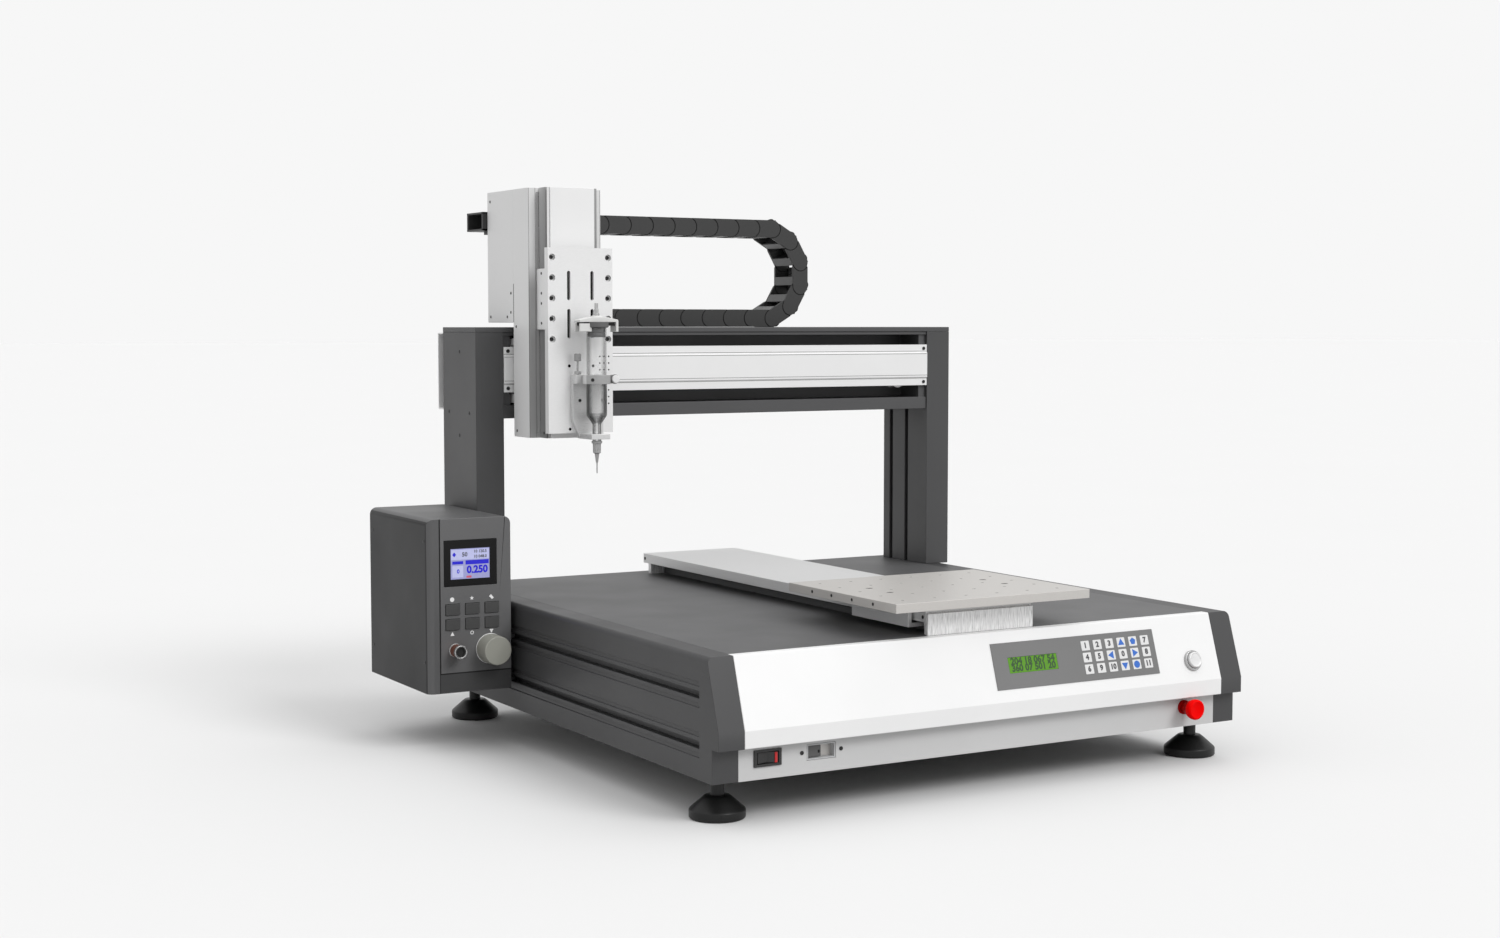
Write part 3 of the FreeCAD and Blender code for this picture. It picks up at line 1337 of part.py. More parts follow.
def link_shape():
    """One link from its rear pivot at the origin, along +X, with its middle at Z 0."""
    pitch, height, width = at("chain_pitch"), at("chain_height"), at("chain_width")
    cheek, bar, length = at("chain_cheek"), at("chain_bar"), at("chain_bar_length")
    half = height / 2
    hollow = half + at("chain_joint_gap")
    horn = math.sqrt(hollow ** 2 - half ** 2)
    foot = Vector(0, 0, -half)
    head = Vector(0, 0, half)
    low = Vector(pitch - horn, 0, -half)
    high = Vector(pitch - horn, 0, half)
    edges = [Part.LineSegment(foot, low).toShape(),
             Part.Arc(low, Vector(pitch - hollow, 0, 0), high).toShape(),
             Part.LineSegment(high, head).toShape(),
             Part.Arc(head, Vector(-half, 0, 0), foot).toShape()]
    cheek_face = Part.Face(Part.Wire(edges))
    parts = [cheek_face.extrude(Vector(0, cheek, 0))]
    parts.append(parts[0].translated(Vector(0, width - cheek, 0)))
    for z in (-half, half - bar):
        parts.append(Part.makeBox(length, width, bar, Vector((pitch - hollow - length) / 2, 0, z)))
    return parts[0].fuse(parts[1:]).removeSplitter()


def chain():
    """Chain on the beam, its half-turn, and the run back to the head, with brackets."""
    pitch = at("chain_pitch")
    half = at("chain_height") / 2
    width = at("chain_width")
    bar = at("chain_bar")
    cheek = at("chain_cheek")
    bend_x = at("chain_bend_x")
    turn = 180.0 / CHAIN_TURNS
    link = link_shape()

    def chain_piece(label, z, joints, bracket=None):
        """Links set at joints, each as X, Z and the angle it points at."""
        shapes = []
        for x, up, angle in joints:
            shapes.append(link.copy())
            shapes[-1].Placement = Placement(Vector(x, 0, up), Rotation(Vector(0, -1, 0), angle))
        if bracket:
            shapes.append(bracket)
        thing = doc.addObject("Part::Feature", label)
        thing.Shape = Part.Compound(shapes)
        thing.Placement = Placement(Vector(bend_x, at("chain_front"), at(z)), Rotation())
        keep(thing, label)

    def channel(x, length, lid):
        """Bracket at the end of a run: two walls on a floor, with or without a lid."""
        outer = Part.makeBox(length, width, 2 * half, Vector(x, 0, -half))
        room = 2 * half - bar - (bar if lid else -1)
        inner = Part.makeBox(length + 2, width - 2 * cheek, room,
                             Vector(x - 1, cheek, bar - half))
        return outer.cut(inner)

    low_x = -CHAIN_LOW_LINKS * pitch
    low_end = low_x - half - at("chain_joint_gap") - at("chain_foot")
    tongue = Part.makeBox(12, width, bar, Vector(low_end - 12, 0, -half))
    chain_piece("chain_lower", "chain_low",
                [(-k * pitch, 0, 0) for k in range(1, CHAIN_LOW_LINKS + 1)],
                channel(low_end, at("chain_foot"), False).fuse(tongue).removeSplitter())

    spots = []
    x = up = 0.0
    for k in range(1, CHAIN_TURNS):
        spots.append((x, up, k * turn))
        x += pitch * math.cos(math.radians(k * turn))
        up += pitch * math.sin(math.radians(k * turn))
    chain_piece("chain_bend", "chain_low", spots)

    high_x = -CHAIN_HIGH_LINKS * pitch - 0.5 - at("chain_end")
    off = at("chain_front") - at("head_cover_back")
    pad_block = Part.makeBox(at("chain_end") - 8, off + 1, 2 * half - 4,
                             Vector(high_x + 8, -off, 2 - half))
    tab = Part.makeBox(8, 20, 5, Vector(high_x + 10, 0, -half - 5))
    end = channel(high_x, at("chain_end"), True).fuse([pad_block, tab]).removeSplitter()
    chain_piece("chain_upper", "chain_high",
                [(-k * pitch, 0, 180) for k in range(CHAIN_HIGH_LINKS)], end)


# Controller

def controller_case():
    """Case with rounded upright edges, open for the front panel."""
    body = body_of("controller_case")
    sketch = sketch_on(body, "XZ_Plane", "-box_front")
    oblong(sketch, "box_left", "box_bottom", "box_width", "box_height")
    pad(body, sketch, "box_depth", back=True)
    left = at("box_left")
    top = at("box_bottom") + at("box_height")
    front = at("box_front")

    def chosen(edge):
        c = edge.CenterOfMass
        upright = abs(c.x - left) < 0.1 and abs(c.y - front) < 0.1
        ridge = abs(c.z - top) < 0.1 and (abs(c.x - left) < 0.1 or
                                          abs(c.x - left - at("box_width")) < 0.1)
        return upright or ridge

    round_edges(body, "box_round", chosen)
    doc.recompute()
    recess = sketch_on(body, "XZ_Plane", "-box_front")
    oblong(recess, "panel_left", "box_bottom + box_foot",
           "panel_width + 1", "box_height - box_foot + 1")
    pocket(body, recess, "box_panel_wall + box_seam")
    hollow = sketch_on(body, "XZ_Plane", "-(box_front + box_panel_wall + box_seam)")
    oblong(hollow, "panel_left + box_wall", "box_bottom + box_foot + box_wall",
           "panel_width - 2 * box_wall", "box_height - box_foot - 3 * box_wall")
    pocket(body, hollow, "box_depth - box_panel_wall - box_seam - box_wall")
    made.remove(body)
    body.Label = "controller_box"
    hooks = []
    for height in ("groove_high", "groove_low"):
        hooks.append(block("box_right - 1", "box_front + hook_inset",
                           f"foot_height + {height} - groove_width / 2 + seat_gap",
                           "-box_right + 1 - base_width / 2 + groove_depth - 3",
                           "box_depth - 2 * hook_inset", "groove_width - 2"))
    keep(fused([body] + hooks), "controller_case")


def controller_front():
    """Front panel with the screen's recess and the holes of keys, dial and socket."""
    body = body_of("controller_front")
    sketch = sketch_on(body, "XZ_Plane", "-box_front")
    oblong(sketch, "panel_left + box_seam", "box_bottom + box_foot + box_seam",
           "panel_width - box_seam", "box_height - box_foot - box_seam")
    pad(body, sketch, "box_panel_wall", back=True)
    top = at("box_bottom") + at("box_height")
    right = at("box_right")
    round_edges(body, "box_round",
                lambda e: abs(e.CenterOfMass.z - top) < 0.1 and abs(e.CenterOfMass.x - right) < 0.1)
    doc.recompute()
    holes = sketch_on(body, "XZ_Plane", "-box_front")
    for row in (0, 1):
        for line in (0, 1, 2):
            oblong(holes,
                   f"box_left + key_left + {line} * key_pitch_across + seat_gap",
                   f"box_bottom + key_bottom + {row} * key_pitch_up - seat_gap",
                   "key_width + 2 * seat_gap", "key_height + 2 * seat_gap")
    circle(holes, "box_left + dial_x", "box_bottom + dial_z", "axle_radius + running_clearance")
    circle(holes, "box_left + socket_x", "box_bottom + socket_z", "socket_radius - 1.5")
    pocket(body, holes, "box_panel_wall")
    recess = sketch_on(body, "XZ_Plane", "-box_front")
    oblong(recess, "box_left + box_strip + screen_left - 8", "box_bottom + screen_bottom",
           "screen_width", "screen_height")
    pocket(body, recess, "1.5")
    doc.recompute()


def controller_parts():
    """Screen glass, six keys, dial and air socket."""
    keep(block("box_left + box_strip + screen_left - 8 + seat_gap", "box_front - 0.4",
               "box_bottom + screen_bottom + seat_gap", "screen_width - 2 * seat_gap", "1.9",
               "screen_height - 2 * seat_gap"), "controller_screen")
    number = 0
    for row in (1, 0):
        for line in (0, 1, 2):
            number += 1
            x = f"box_left + key_left + {line} * key_pitch_across + 2 * seat_gap"
            z = f"box_bottom + key_bottom + {row} * key_pitch_up"
            cap = block(x, "box_front - key_proud", z, "key_width", "key_proud + box_panel_wall - 1",
                        "key_height")
            keep(cap, f"controller_key_{number}")
    turned("controller_knob",
           [("0", "-box_panel_wall"), ("axle_radius", "-box_panel_wall"), ("axle_radius", "0.5"),
            ("dial_radius", "0.5"), ("dial_radius - 0.6", "dial_length - 1.5"),
            ("dial_radius - 2", "dial_length"), ("0", "dial_length")],
           "box_left + dial_x", "box_front", "box_bottom + dial_z", "front")
    turned("air_connector",
           [("0", "-box_panel_wall"), ("socket_radius - 2", "-box_panel_wall"),
            ("socket_radius - 2", "0"), ("socket_radius + 0.6", "0"), ("socket_radius + 0.6", "3"),
            ("socket_radius - 1.2", "3"), ("socket_radius - 1.2", "socket_length - 4"),
            ("socket_radius", "socket_length - 4"), ("socket_radius", "socket_length"),
            ("socket_radius - 2.2", "socket_length"), ("socket_radius - 2.2", "4"), ("0", "4")],
           "box_left + socket_x", "box_front", "box_bottom + socket_z", "front")


side_frame("left", -1)
side_frame("right", 1)
deck_plate()
base_tray()
front_shell()
switch_strip()
keypad_overlay()
display_module()
start_button()
estop_cap()
panel_fittings()
power_rocker()
levelling_feet()
control_electronics()
y_bed()
y_cover()
y_end_plates()
y_saddle()
work_plate()
y_screw()
column("left", -1)
column("right", 1)
beam()
beam_covers()
guide_rails()
stepper_motors()
pulleys()
x_saddle()
z_housing()
z_front_cover()
head_cover()
z_drive()
z_carriage()
tool_plate()
syringe_bracket()
syringe()
clamp_screws()
chain()
controller_case()
controller_front()
controller_parts()
doc.recompute()

faults = []
for thing in doc.Objects:
    if "Invalid" in thing.State or "Error" in thing.State:
        faults.append(f"{thing.Label}: {thing.State}")
for thing in made:
    shape = thing.Shape
    if shape.isNull() or not shape.isValid() or not shape.Solids:
        faults.append(f"{thing.Label}: no valid solid")
if faults:
    raise RuntimeError("; ".join(faults))

os.makedirs("parts", exist_ok=True)
for thing in made:
    thing.Shape.exportStep(f"parts/{thing.Label}.step")
print(len(made), "pieces written")
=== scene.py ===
import json
import math

import bmesh
import bpy
from mathutils import Matrix, Vector

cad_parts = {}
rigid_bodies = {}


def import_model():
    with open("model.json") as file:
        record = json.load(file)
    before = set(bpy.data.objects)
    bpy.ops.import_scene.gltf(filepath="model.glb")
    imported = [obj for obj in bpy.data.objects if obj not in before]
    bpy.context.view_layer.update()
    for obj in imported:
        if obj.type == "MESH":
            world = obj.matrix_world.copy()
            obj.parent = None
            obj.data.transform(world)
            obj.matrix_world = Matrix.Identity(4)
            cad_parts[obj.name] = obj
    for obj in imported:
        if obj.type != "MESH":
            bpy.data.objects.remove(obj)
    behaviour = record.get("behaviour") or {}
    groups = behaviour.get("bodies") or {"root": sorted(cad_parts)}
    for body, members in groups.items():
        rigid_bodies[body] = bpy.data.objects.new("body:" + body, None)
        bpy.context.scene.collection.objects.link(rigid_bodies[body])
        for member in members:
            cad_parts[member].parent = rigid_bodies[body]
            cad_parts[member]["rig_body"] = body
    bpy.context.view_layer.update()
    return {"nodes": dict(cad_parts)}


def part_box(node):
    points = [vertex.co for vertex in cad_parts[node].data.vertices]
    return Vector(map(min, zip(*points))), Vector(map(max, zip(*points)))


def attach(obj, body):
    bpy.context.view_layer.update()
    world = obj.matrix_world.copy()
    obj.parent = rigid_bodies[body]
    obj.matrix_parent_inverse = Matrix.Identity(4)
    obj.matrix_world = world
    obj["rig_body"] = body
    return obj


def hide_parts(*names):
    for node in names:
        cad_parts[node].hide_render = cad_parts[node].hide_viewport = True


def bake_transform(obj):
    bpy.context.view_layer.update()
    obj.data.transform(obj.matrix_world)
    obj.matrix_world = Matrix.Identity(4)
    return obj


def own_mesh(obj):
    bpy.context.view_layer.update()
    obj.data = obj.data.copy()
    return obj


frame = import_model()
nodes = frame["nodes"]
bodyOf = {name: thing["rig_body"] for name, thing in nodes.items()}
mm = 0.001
print("frame loaded:", len(nodes), "nodes")


# Places that several pieces share, in millimetres

place = {
    "headX": -273.5,
    "toolX": -266.0,
    "toolY": 112.0,
    "baseFront": -378.0,
    "stripFront": -364.0,
    "kneeZ": 102.5,
    "leanBack": 25.0,
    "leanTall": 77.5,
    "boxLeft": -483.5,
    "boxFront": 140.0,
    "boxBottom": 75.0,
}


def moved(x, y, z):
    return Matrix.Translation(Vector((x, y, z)) * mm)


def facing(origin, across, up):
    # Matrix whose X runs across a face, Y up it and Z out of it
    a, u = Vector(across).normalized(), Vector(up).normalized()
    matrix = Matrix((a, u, a.cross(u))).transposed().to_4x4()
    matrix.translation = Vector(origin) * mm
    return matrix


def frontAt(x, y, z):
    # A face that looks to the front, with its origin at a point
    return facing((x, y, z), (1, 0, 0), (0, 0, 1))


leanFace = facing((0, place["baseFront"], place["kneeZ"]), (1, 0, 0),
                  (0, place["leanBack"], place["leanTall"]))
stripFace = frontAt(0, place["stripFront"], 0)
boxFace = frontAt(place["boxLeft"], place["boxFront"], place["boxBottom"])
# The chain's own face: X along it, Y up and Z to the back
chainFace = Matrix(((1, 0, 0, 0), (0, 0, 1, 0), (0, 1, 0, 0), (0, 0, 0, 1)))


# Nodes, for finishes and for Geometry Nodes trees

def fill(tree, made, inputs):
    # Sets a node's inputs, by name or number, or wires them to outputs
    for key, value in inputs.items():
        if isinstance(value, bpy.types.NodeSocket):
            tree.links.new(value, made.inputs[key])
        else:
            made.inputs[key].default_value = value
    return made


def node(tree, kind, inputs=None, **settings):
    made = tree.nodes.new(kind)
    for key, value in settings.items():
        setattr(made, key, value)
    return fill(tree, made, inputs or {})


def maths(tree, operation, *values):
    return node(tree, "ShaderNodeMath", dict(enumerate(values)), operation=operation).outputs[0]


# Finishes. Every one is procedural, on Object coordinates

def startFinish(name):
    finish = bpy.data.materials.new(name)
    finish.use_nodes = True
    return finish, finish.node_tree, finish.node_tree.nodes["Principled BSDF"]


def noiseFor(tree, scale, detail, stretch=(1, 1, 1)):
    spot = node(tree, "ShaderNodeTexCoord")
    turn = node(tree, "ShaderNodeMapping", {"Vector": spot.outputs["Object"], "Scale": stretch})
    return node(tree, "ShaderNodeTexNoise", {"Vector": turn.outputs["Vector"], "Scale": scale,
                                             "Detail": detail}).outputs["Fac"]


def objectAxes(tree):
    spot = node(tree, "ShaderNodeTexCoord")
    return node(tree, "ShaderNodeSeparateXYZ", {0: spot.outputs["Object"]}).outputs


def spread(tree, fac, low, high, fromLow=0.3, fromHigh=0.7):
    return node(tree, "ShaderNodeMapRange", {"Value": fac, "From Min": fromLow, "From Max": fromHigh,
                                             "To Min": low, "To Max": high}).outputs["Result"]


def tone(colour, factor=1.0):
    # An opaque colour from one grey value or three channels, times a factor
    channels = (colour,) * 3 if isinstance(colour, float) else colour
    return (*(min(1, c * factor) for c in channels), 1)


def mixed(tree, fac, first, second):
    return node(tree, "ShaderNodeMix", {0: fac, 6: first, 7: second}, data_type="RGBA").outputs[2]


def shaded(tree, fac, colour, dark, light):
    return mixed(tree, spread(tree, fac, 0, 1), tone(colour, dark), tone(colour, light))


def grain(tree, fac, strength, depth=0.0001):
    return node(tree, "ShaderNodeBump", {"Height": fac, "Strength": strength,
                                         "Distance": depth}).outputs["Normal"]


def coated(name, colour, rough=0.5, texture=1400, strength=0.25, shade=0.05, coat=0.0, gloss=0.5):
    # Powder coat, moulded plastic or rubber: a fine grain with slow cloudy shade
    finish, tree, shader = startFinish(name)
    cloud = noiseFor(tree, 9, 4)
    fill(tree, shader, {
        "Base Color": shaded(tree, cloud, colour, 1 - shade, 1 + shade),
        "Roughness": spread(tree, cloud, rough - 0.05, rough + 0.05),
        "Coat Weight": coat,
        "Specular IOR Level": gloss,
        "Normal": grain(tree, noiseFor(tree, texture, 3), strength),
    })
    return finish


def brushed(name, colour, rough=0.32, stretch=(1, 40, 40), contrast=0.12, metal=1.0, scale=60,
            strength=0.12):
    # Ground or brushed metal: streaks along the axis with the small stretch
    finish, tree, shader = startFinish(name)
    streak = noiseFor(tree, scale, 5, stretch)
    fill(tree, shader, {
        "Base Color": shaded(tree, streak, colour, 1 - contrast, 1 + contrast),
        "Roughness": spread(tree, streak, rough - 0.08, rough + 0.1),
        "Metallic": metal,
        "Normal": grain(tree, streak, strength),
    })
    return finish


def lit(name, colour, glow, rough=0.25):
    # Backlit glass: its colour also glows a little, with fine cells in it
    finish, tree, shader = startFinish(name)
    cells = noiseFor(tree, 260, 2)
    fill(tree, shader, {
        "Base Color": shaded(tree, cells, colour, 0.28, 0.36),
        "Roughness": rough,
        "Emission Color": tone(colour),
        "Emission Strength": glow,
        "Normal": grain(tree, cells, 0.02),
    })
    return finish


def paintedShadeCoat(name, low, high, zRange, front=1.0, yRange=(0, 1), rough=0.4):
    # A satin coat with painted shade: its tone falls off down a face, and towards the front of it
    finish, tree, shader = startFinish(name)
    axes = objectAxes(tree)
    fine = noiseFor(tree, 1400, 3)
    down = spread(tree, axes["Z"], 0, 1, *zRange)
    near, far = [mixed(tree, down, tone(low, part), tone(high, part)) for part in (front, 1.0)]
    fill(tree, shader, {
        "Base Color": mixed(tree, spread(tree, axes["Y"], 0, 1, *yRange), near, far),
        "Roughness": spread(tree, fine, rough - 0.04, rough + 0.04),
        "Normal": grain(tree, fine, 0.1),
    })
    return finish


def clear(name, middle, rim, through, dense, zRange, rough=0.12):
    # Clear moulded plastic: open where seen square on, dark and dense towards its edges, and denser
    # still below a height, as painted shade
    finish, tree, shader = startFinish(name)
    haze = noiseFor(tree, 60, 3)
    edge = node(tree, "ShaderNodeLayerWeight", {"Blend": 0.5})
    side = spread(tree, edge.outputs["Facing"], 0, 1, 0.08, 0.34)
    # Painted shade: the edges are denser below the lower end of the height range
    part = spread(tree, objectAxes(tree)["Z"], dense, dense * 0.24, *zRange)
    fill(tree, shader, {
        "Base Color": mixed(tree, side, tone(middle), tone(rim)),
        "Alpha": maths(tree, "MULTIPLY_ADD", side, part, through),
        "Roughness": spread(tree, haze, rough - 0.03, rough + 0.05),
        "Normal": grain(tree, haze, 0.05, 0.0002),
    })
    return finish


darkCoat = coated("dark powder coat", (0.042, 0.042, 0.0435), 0.46)
columnCoat = coated("column powder coat", (0.050, 0.050, 0.0515), 0.46)
gantryCoat = coated("gantry powder coat", (0.063, 0.063, 0.065), 0.46)
deckCoat = coated("deck powder coat", (0.086, 0.086, 0.088), 0.5, shade=0.04)
# The controller case has two copies of one paint: darker on its sides as painted shade, lighter on its
# top and front as painted light
caseShadedCoat = coated("controller coat", (0.030, 0.030, 0.031), 0.5, gloss=0.2)
lowCoat = coated("controller low front coat", (0.056, 0.056, 0.057), 0.5, gloss=0.25)
caseLitCoat = coated("controller front coat", (0.088, 0.088, 0.090), 0.45)
panelCoat = coated("controller panel coat", (0.112, 0.112, 0.114), 0.42)
whiteCoat = coated("white satin coat", 0.80, 0.38, strength=0.1, shade=0.015)
# The switch strip has the shell's white, painted darker for the shade under the shell
stripShadedCoat = coated("white strip coat", 0.56, 0.42, strength=0.1, shade=0.02)
headCoat = coated("pale grey coat", 0.80, 0.4, strength=0.1, shade=0.02)
edgeCoat = coated("grey side coat", (0.46, 0.465, 0.47), 0.4, strength=0.1, shade=0.03)
# The lip of the housing and the nose's sides are painted darker low down, and the nose's sides also
# towards their front: painted shade
lipPaintedShade = paintedShadeCoat("housing lip", 0.42, 0.68, (0.575, 0.605))
nosePaintedShade = paintedShadeCoat("nose side", 0.28, 0.56, (0.55, 0.70), 0.5, (0.166, 0.188))
bandGrey = coated("slot band", 0.42, 0.5, strength=0.2, shade=0.04)
# Near black for seams, slits and dots, and also painted shade: hole bottoms and walls, slot backs,
# chain tongues and under the adapter's wing
seamAndShadeDark = coated("dark seam", 0.012, 0.6, 900, 0.1, gloss=0.2)
lineGrey = coated("grey line", 0.22, 0.5, 900, 0.1, gloss=0.2)
plateMetal = brushed("bead blasted aluminium", (0.54, 0.522, 0.50), 0.40, (1, 6, 6), 0.04, 0.35, 300,
                     0.08)
toolMetal = brushed("clear anodised aluminium", 0.78, 0.36, (1, 1, 14), 0.03, 0.35, 220, 0.06)
coverMetal = brushed("long cover aluminium", 0.66, 0.4, (14, 1, 14), 0.03, 0.4, 200, 0.06)
endMetal = brushed("coarse brushed end plate", 0.78, 0.34, (26, 26, 2.6), 0.30, 0.3, 30, 0.45)
railSteel = brushed("ground steel", (0.42, 0.42, 0.43), 0.28, (1, 30, 30))
screwSteel = brushed("blackened screw", 0.016, 0.42, (20, 20, 20), 0.1, 0.2)
brightSteel = brushed("bright steel", 0.46, 0.28, (12, 12, 2), 0.1, 0.85)
hubGrey = brushed("needle hub", 0.36, 0.3, (12, 12, 2), 0.1, 0.5)
knobSide = brushed("clamp knob side", 0.16, 0.35, (20, 20, 20), 0.1, 0.5)
ringTone = brushed("ring aluminium", 0.36, 0.34, (1, 1, 14), 0.06, 0.45, 220, 0.06)
holderMetal = brushed("holder aluminium", 0.62, 0.34, (1, 1, 14), 0.05, 0.45, 220, 0.06)
chainNylon = coated("chain nylon", 0.025, 0.5, 900, 0.3)
chainRib = coated("chain bar nylon", 0.11, 0.45, 900, 0.3)
blackPlastic = coated("black plastic", 0.018, 0.4, 1200, 0.2)
footRubber = coated("foot rubber", 0.008, 0.4, 700, 0.3, gloss=0.35)
overlayFilm = coated("grey membrane", 0.155, 0.5, 2400, 0.15)
keyPrint = coated("white key print", 0.68, 0.45, 2000, 0.1, 0.02)
inkBlack = coated("dark ink", (0.05, 0.05, 0.055), 0.5, 2000, 0.05)
inkBlue = coated("blue ink", (0.02, 0.13, 0.52), 0.5, 2000, 0.05)
inkWhite = coated("white ink", 0.80, 0.5, 2000, 0.05)
inkGreen = coated("display ink", (0.012, 0.06, 0.003), 0.5, 2000, 0.05)
signalRed = coated("signal red", (0.84, 0.001, 0.001), 0.4, 1200, 0.05, 0.03, gloss=0.03)
# The stop cap's red, painted darker for the shade on its neck and collar
shadedRed = coated("deep red", (0.34, 0.001, 0.001), 0.4, 1200, 0.05, 0.03, gloss=0.05)
rockerRed = coated("switch red", (0.5, 0.01, 0.012), 0.3, 1200, 0.05)
buttonWhite = coated("button white", 0.74, 0.3, 1200, 0.05, 0.02, coat=0.2)
capGrey = brushed("satin cap", 0.70, 0.3, (1, 1, 1), 0.04, 0.2, 80, 0.04)
adapterWhite = coated("adapter white", (0.66, 0.66, 0.65), 0.38, 1200, 0.08, 0.02)
dialGrey = coated("dial grey", (0.30, 0.30, 0.265), 0.42, 1000, 0.12, 0.03)
keyDark = coated("dark key", 0.05, 0.5, 1600, 0.2)
plugGrey = coated("plug rubber", 0.10, 0.5, 900, 0.2)
copperBarrel = brushed("copper barrel", (0.32, 0.12, 0.08), 0.3, (1, 30, 1), 0.15, 0.8)
lcdGreen = lit("display green", (0.088, 0.28, 0.004), 0.72)
screenLilac = lit("screen lilac", (0.36, 0.37, 0.66), 0.62)
screenBlue = lit("screen blue", (0.012, 0.010, 0.52), 0.8)
screenPale = lit("screen pale", (0.50, 0.52, 0.80), 0.68)
screenRed = lit("screen red", (0.55, 0.10, 0.16), 0.7)
blackGlass = coated("black bezel", 0.010, 0.3, 400, 0.02, gloss=0.15)
# The barrel's edges are denser below the clamp ring: painted shade
barrelClear = clear("clear barrel", (0.55, 0.56, 0.56), 0.06, 0.05, 0.62, (0.452, 0.468))
boardGreen = coated("circuit board", (0.03, 0.14, 0.05), 0.4)
beltRubber = coated("belt rubber", 0.03, 0.6, 500, 0.4)
print("finishes made")


# Meshes

def addPiece(name, mesh, *finishes):
    piece = bpy.data.objects.new(name, mesh)
    bpy.context.scene.collection.objects.link(piece)
    for finish in finishes:
        mesh.materials.append(finish)
    return piece


def meshFrom(name, work):
    mesh = bpy.data.meshes.new(name)
    work.to_mesh(mesh)
    work.free()
    return mesh


def evaluated(piece):
    # What a piece looks like with its modifiers, as a new mesh
    bpy.context.view_layer.update()
    ready = piece.evaluated_get(bpy.context.evaluated_depsgraph_get())
    return bpy.data.meshes.new_from_object(ready)


def plainMesh(piece):
    mesh = evaluated(piece)
    piece.modifiers.clear()
    piece.data = mesh
    return piece


def smoothed(piece, angle=32):
    for face in piece.data.polygons:
        face.use_smooth = True
    piece.data.set_sharp_from_angle(angle=math.radians(angle))
    return piece


def softEdges(piece, width, segments=2):
    for face in piece.data.polygons:
        face.use_smooth = True
    bevel = piece.modifiers.new("edges", "BEVEL")
    bevel.width = width * mm
    bevel.segments = segments
    bevel.limit_method = "ANGLE"
    bevel.angle_limit = math.radians(32)
    bevel.use_clamp_overlap = False
    weigh = piece.modifiers.new("flat faces", "WEIGHTED_NORMAL")
    weigh.mode = "FACE_AREA"
    weigh.weight = 90
    weigh.keep_sharp = True
    return plainMesh(piece)


def standsFor(piece, *names):
    # The piece takes the place of CAD nodes and rides on their body
    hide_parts(*names)
    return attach(piece, bodyOf[names[0]])


def rides(piece, body):
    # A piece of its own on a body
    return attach(piece, body)


def workCopy(name, finish, whole=False):
    # A CAD node's mesh with joined corners, and whole flat faces where asked.
    # Its stored normals go, because they no longer fit
    work = bmesh.new()
    work.from_mesh(nodes[name].data)
    bmesh.ops.remove_doubles(work, verts=work.verts, dist=2e-6)
    if whole:
        bmesh.ops.dissolve_limit(work, angle_limit=math.radians(0.4), verts=work.verts,
                                 edges=work.edges, delimit={"MATERIAL"})
    mesh = meshFrom(name + "_dressed", work)
    stored = mesh.attributes.get("custom_normal")
    if stored:
        mesh.attributes.remove(stored)
    return addPiece(name + "_dressed", mesh, finish)


def dressed(name, finish, width=0.5, segments=2, crisp=False):
    # A CAD node again, with merged faces and softly broken edges
    piece = workCopy(name, finish, whole=True)
    if crisp:
        piece.data.set_sharp_from_angle(angle=math.radians(8))
    softEdges(piece, width, segments)
    return standsFor(piece, name)


def repaint(piece, finish, chosen):
    # Another finish on the faces that a test picks
    piece.data.materials.append(finish)
    for face in piece.data.polygons:
        if chosen(face):
            face.material_index = len(piece.data.materials) - 1


def lofted(name, loops, matrix, finish, soft, capped=False, closed=False):
    # A mesh over loops of points in millimetres, capped at its ends or closed to a ring
    work = bmesh.new()
    rings = [[work.verts.new(Vector(spot) * mm) for spot in loop] for loop in loops]
    for ring in (rings[0], rings[-1]) if capped else ():
        work.faces.new(ring)
    for first, second in zip(rings, rings[1:] + (rings[:1] if closed else [])):
        count = max(len(first), len(second))
        for k in range(count):
            after = (k + 1) % count
            corners = (first[k % len(first)], first[after % len(first)],
                       second[after % len(second)], second[k % len(second)])
            corners = list(dict.fromkeys(corners))
            if len(corners) > 2:
                work.faces.new(corners)
    bmesh.ops.transform(work, matrix=matrix, verts=work.verts)
    bmesh.ops.remove_doubles(work, verts=work.verts, dist=1e-7)
    bmesh.ops.recalc_face_normals(work, faces=work.faces)
    piece = addPiece(name, meshFrom(name, work), finish)
    return softEdges(piece, soft) if soft else smoothed(piece)


def arc(x, y, radius, start, end, steps):
    angles = [math.radians(start + (end - start) * k / steps) for k in range(steps + 1)]
    return [(x + radius * math.cos(a), y + radius * math.sin(a)) for a in angles]


def circleOutline(x, y, radius, count=28, start=0):
    return arc(x, y, radius, start, start + 360, count)[:-1]


def roundedOutline(left, low, width, height, radius):
    right, top = left + width - radius, low + height - radius
    left, low = left + radius, low + radius
    corners = ((right, top, 0), (left, top, 90), (left, low, 180), (right, low, 270))
    return [spot for x, y, start in corners for spot in arc(x, y, radius, start, start + 90, 5)]


def boxOutline(left, low, width, height, more=0.0):
    # A rectangle, larger on every side by what more says
    left, right, low, top = left - more, left + width + more, low - more, low + height + more
    return [(left, low), (right, low), (right, top), (left, top)]


def lathe(name, profile, matrix, finish, segments=56, soft=0.3):
    # A turned piece from radius and height in millimetres
    loops = [[(x, y, height) for x, y in circleOutline(0, 0, radius, segments if radius else 1)]
             for radius, height in profile]
    closed = profile[0][0] > 0 and profile[-1][0] > 0
    return lofted(name, loops, matrix, finish, soft, closed=closed)


def slab(name, outline, depth, matrix, finish, soft=0.3, start=0.0):
    # A plate from an outline in millimetres, from start to depth out of its face
    loops = [[(x, y, level) for x, y in outline] for level in (start, depth)]
    return lofted(name, loops, matrix, finish, soft, capped=True)


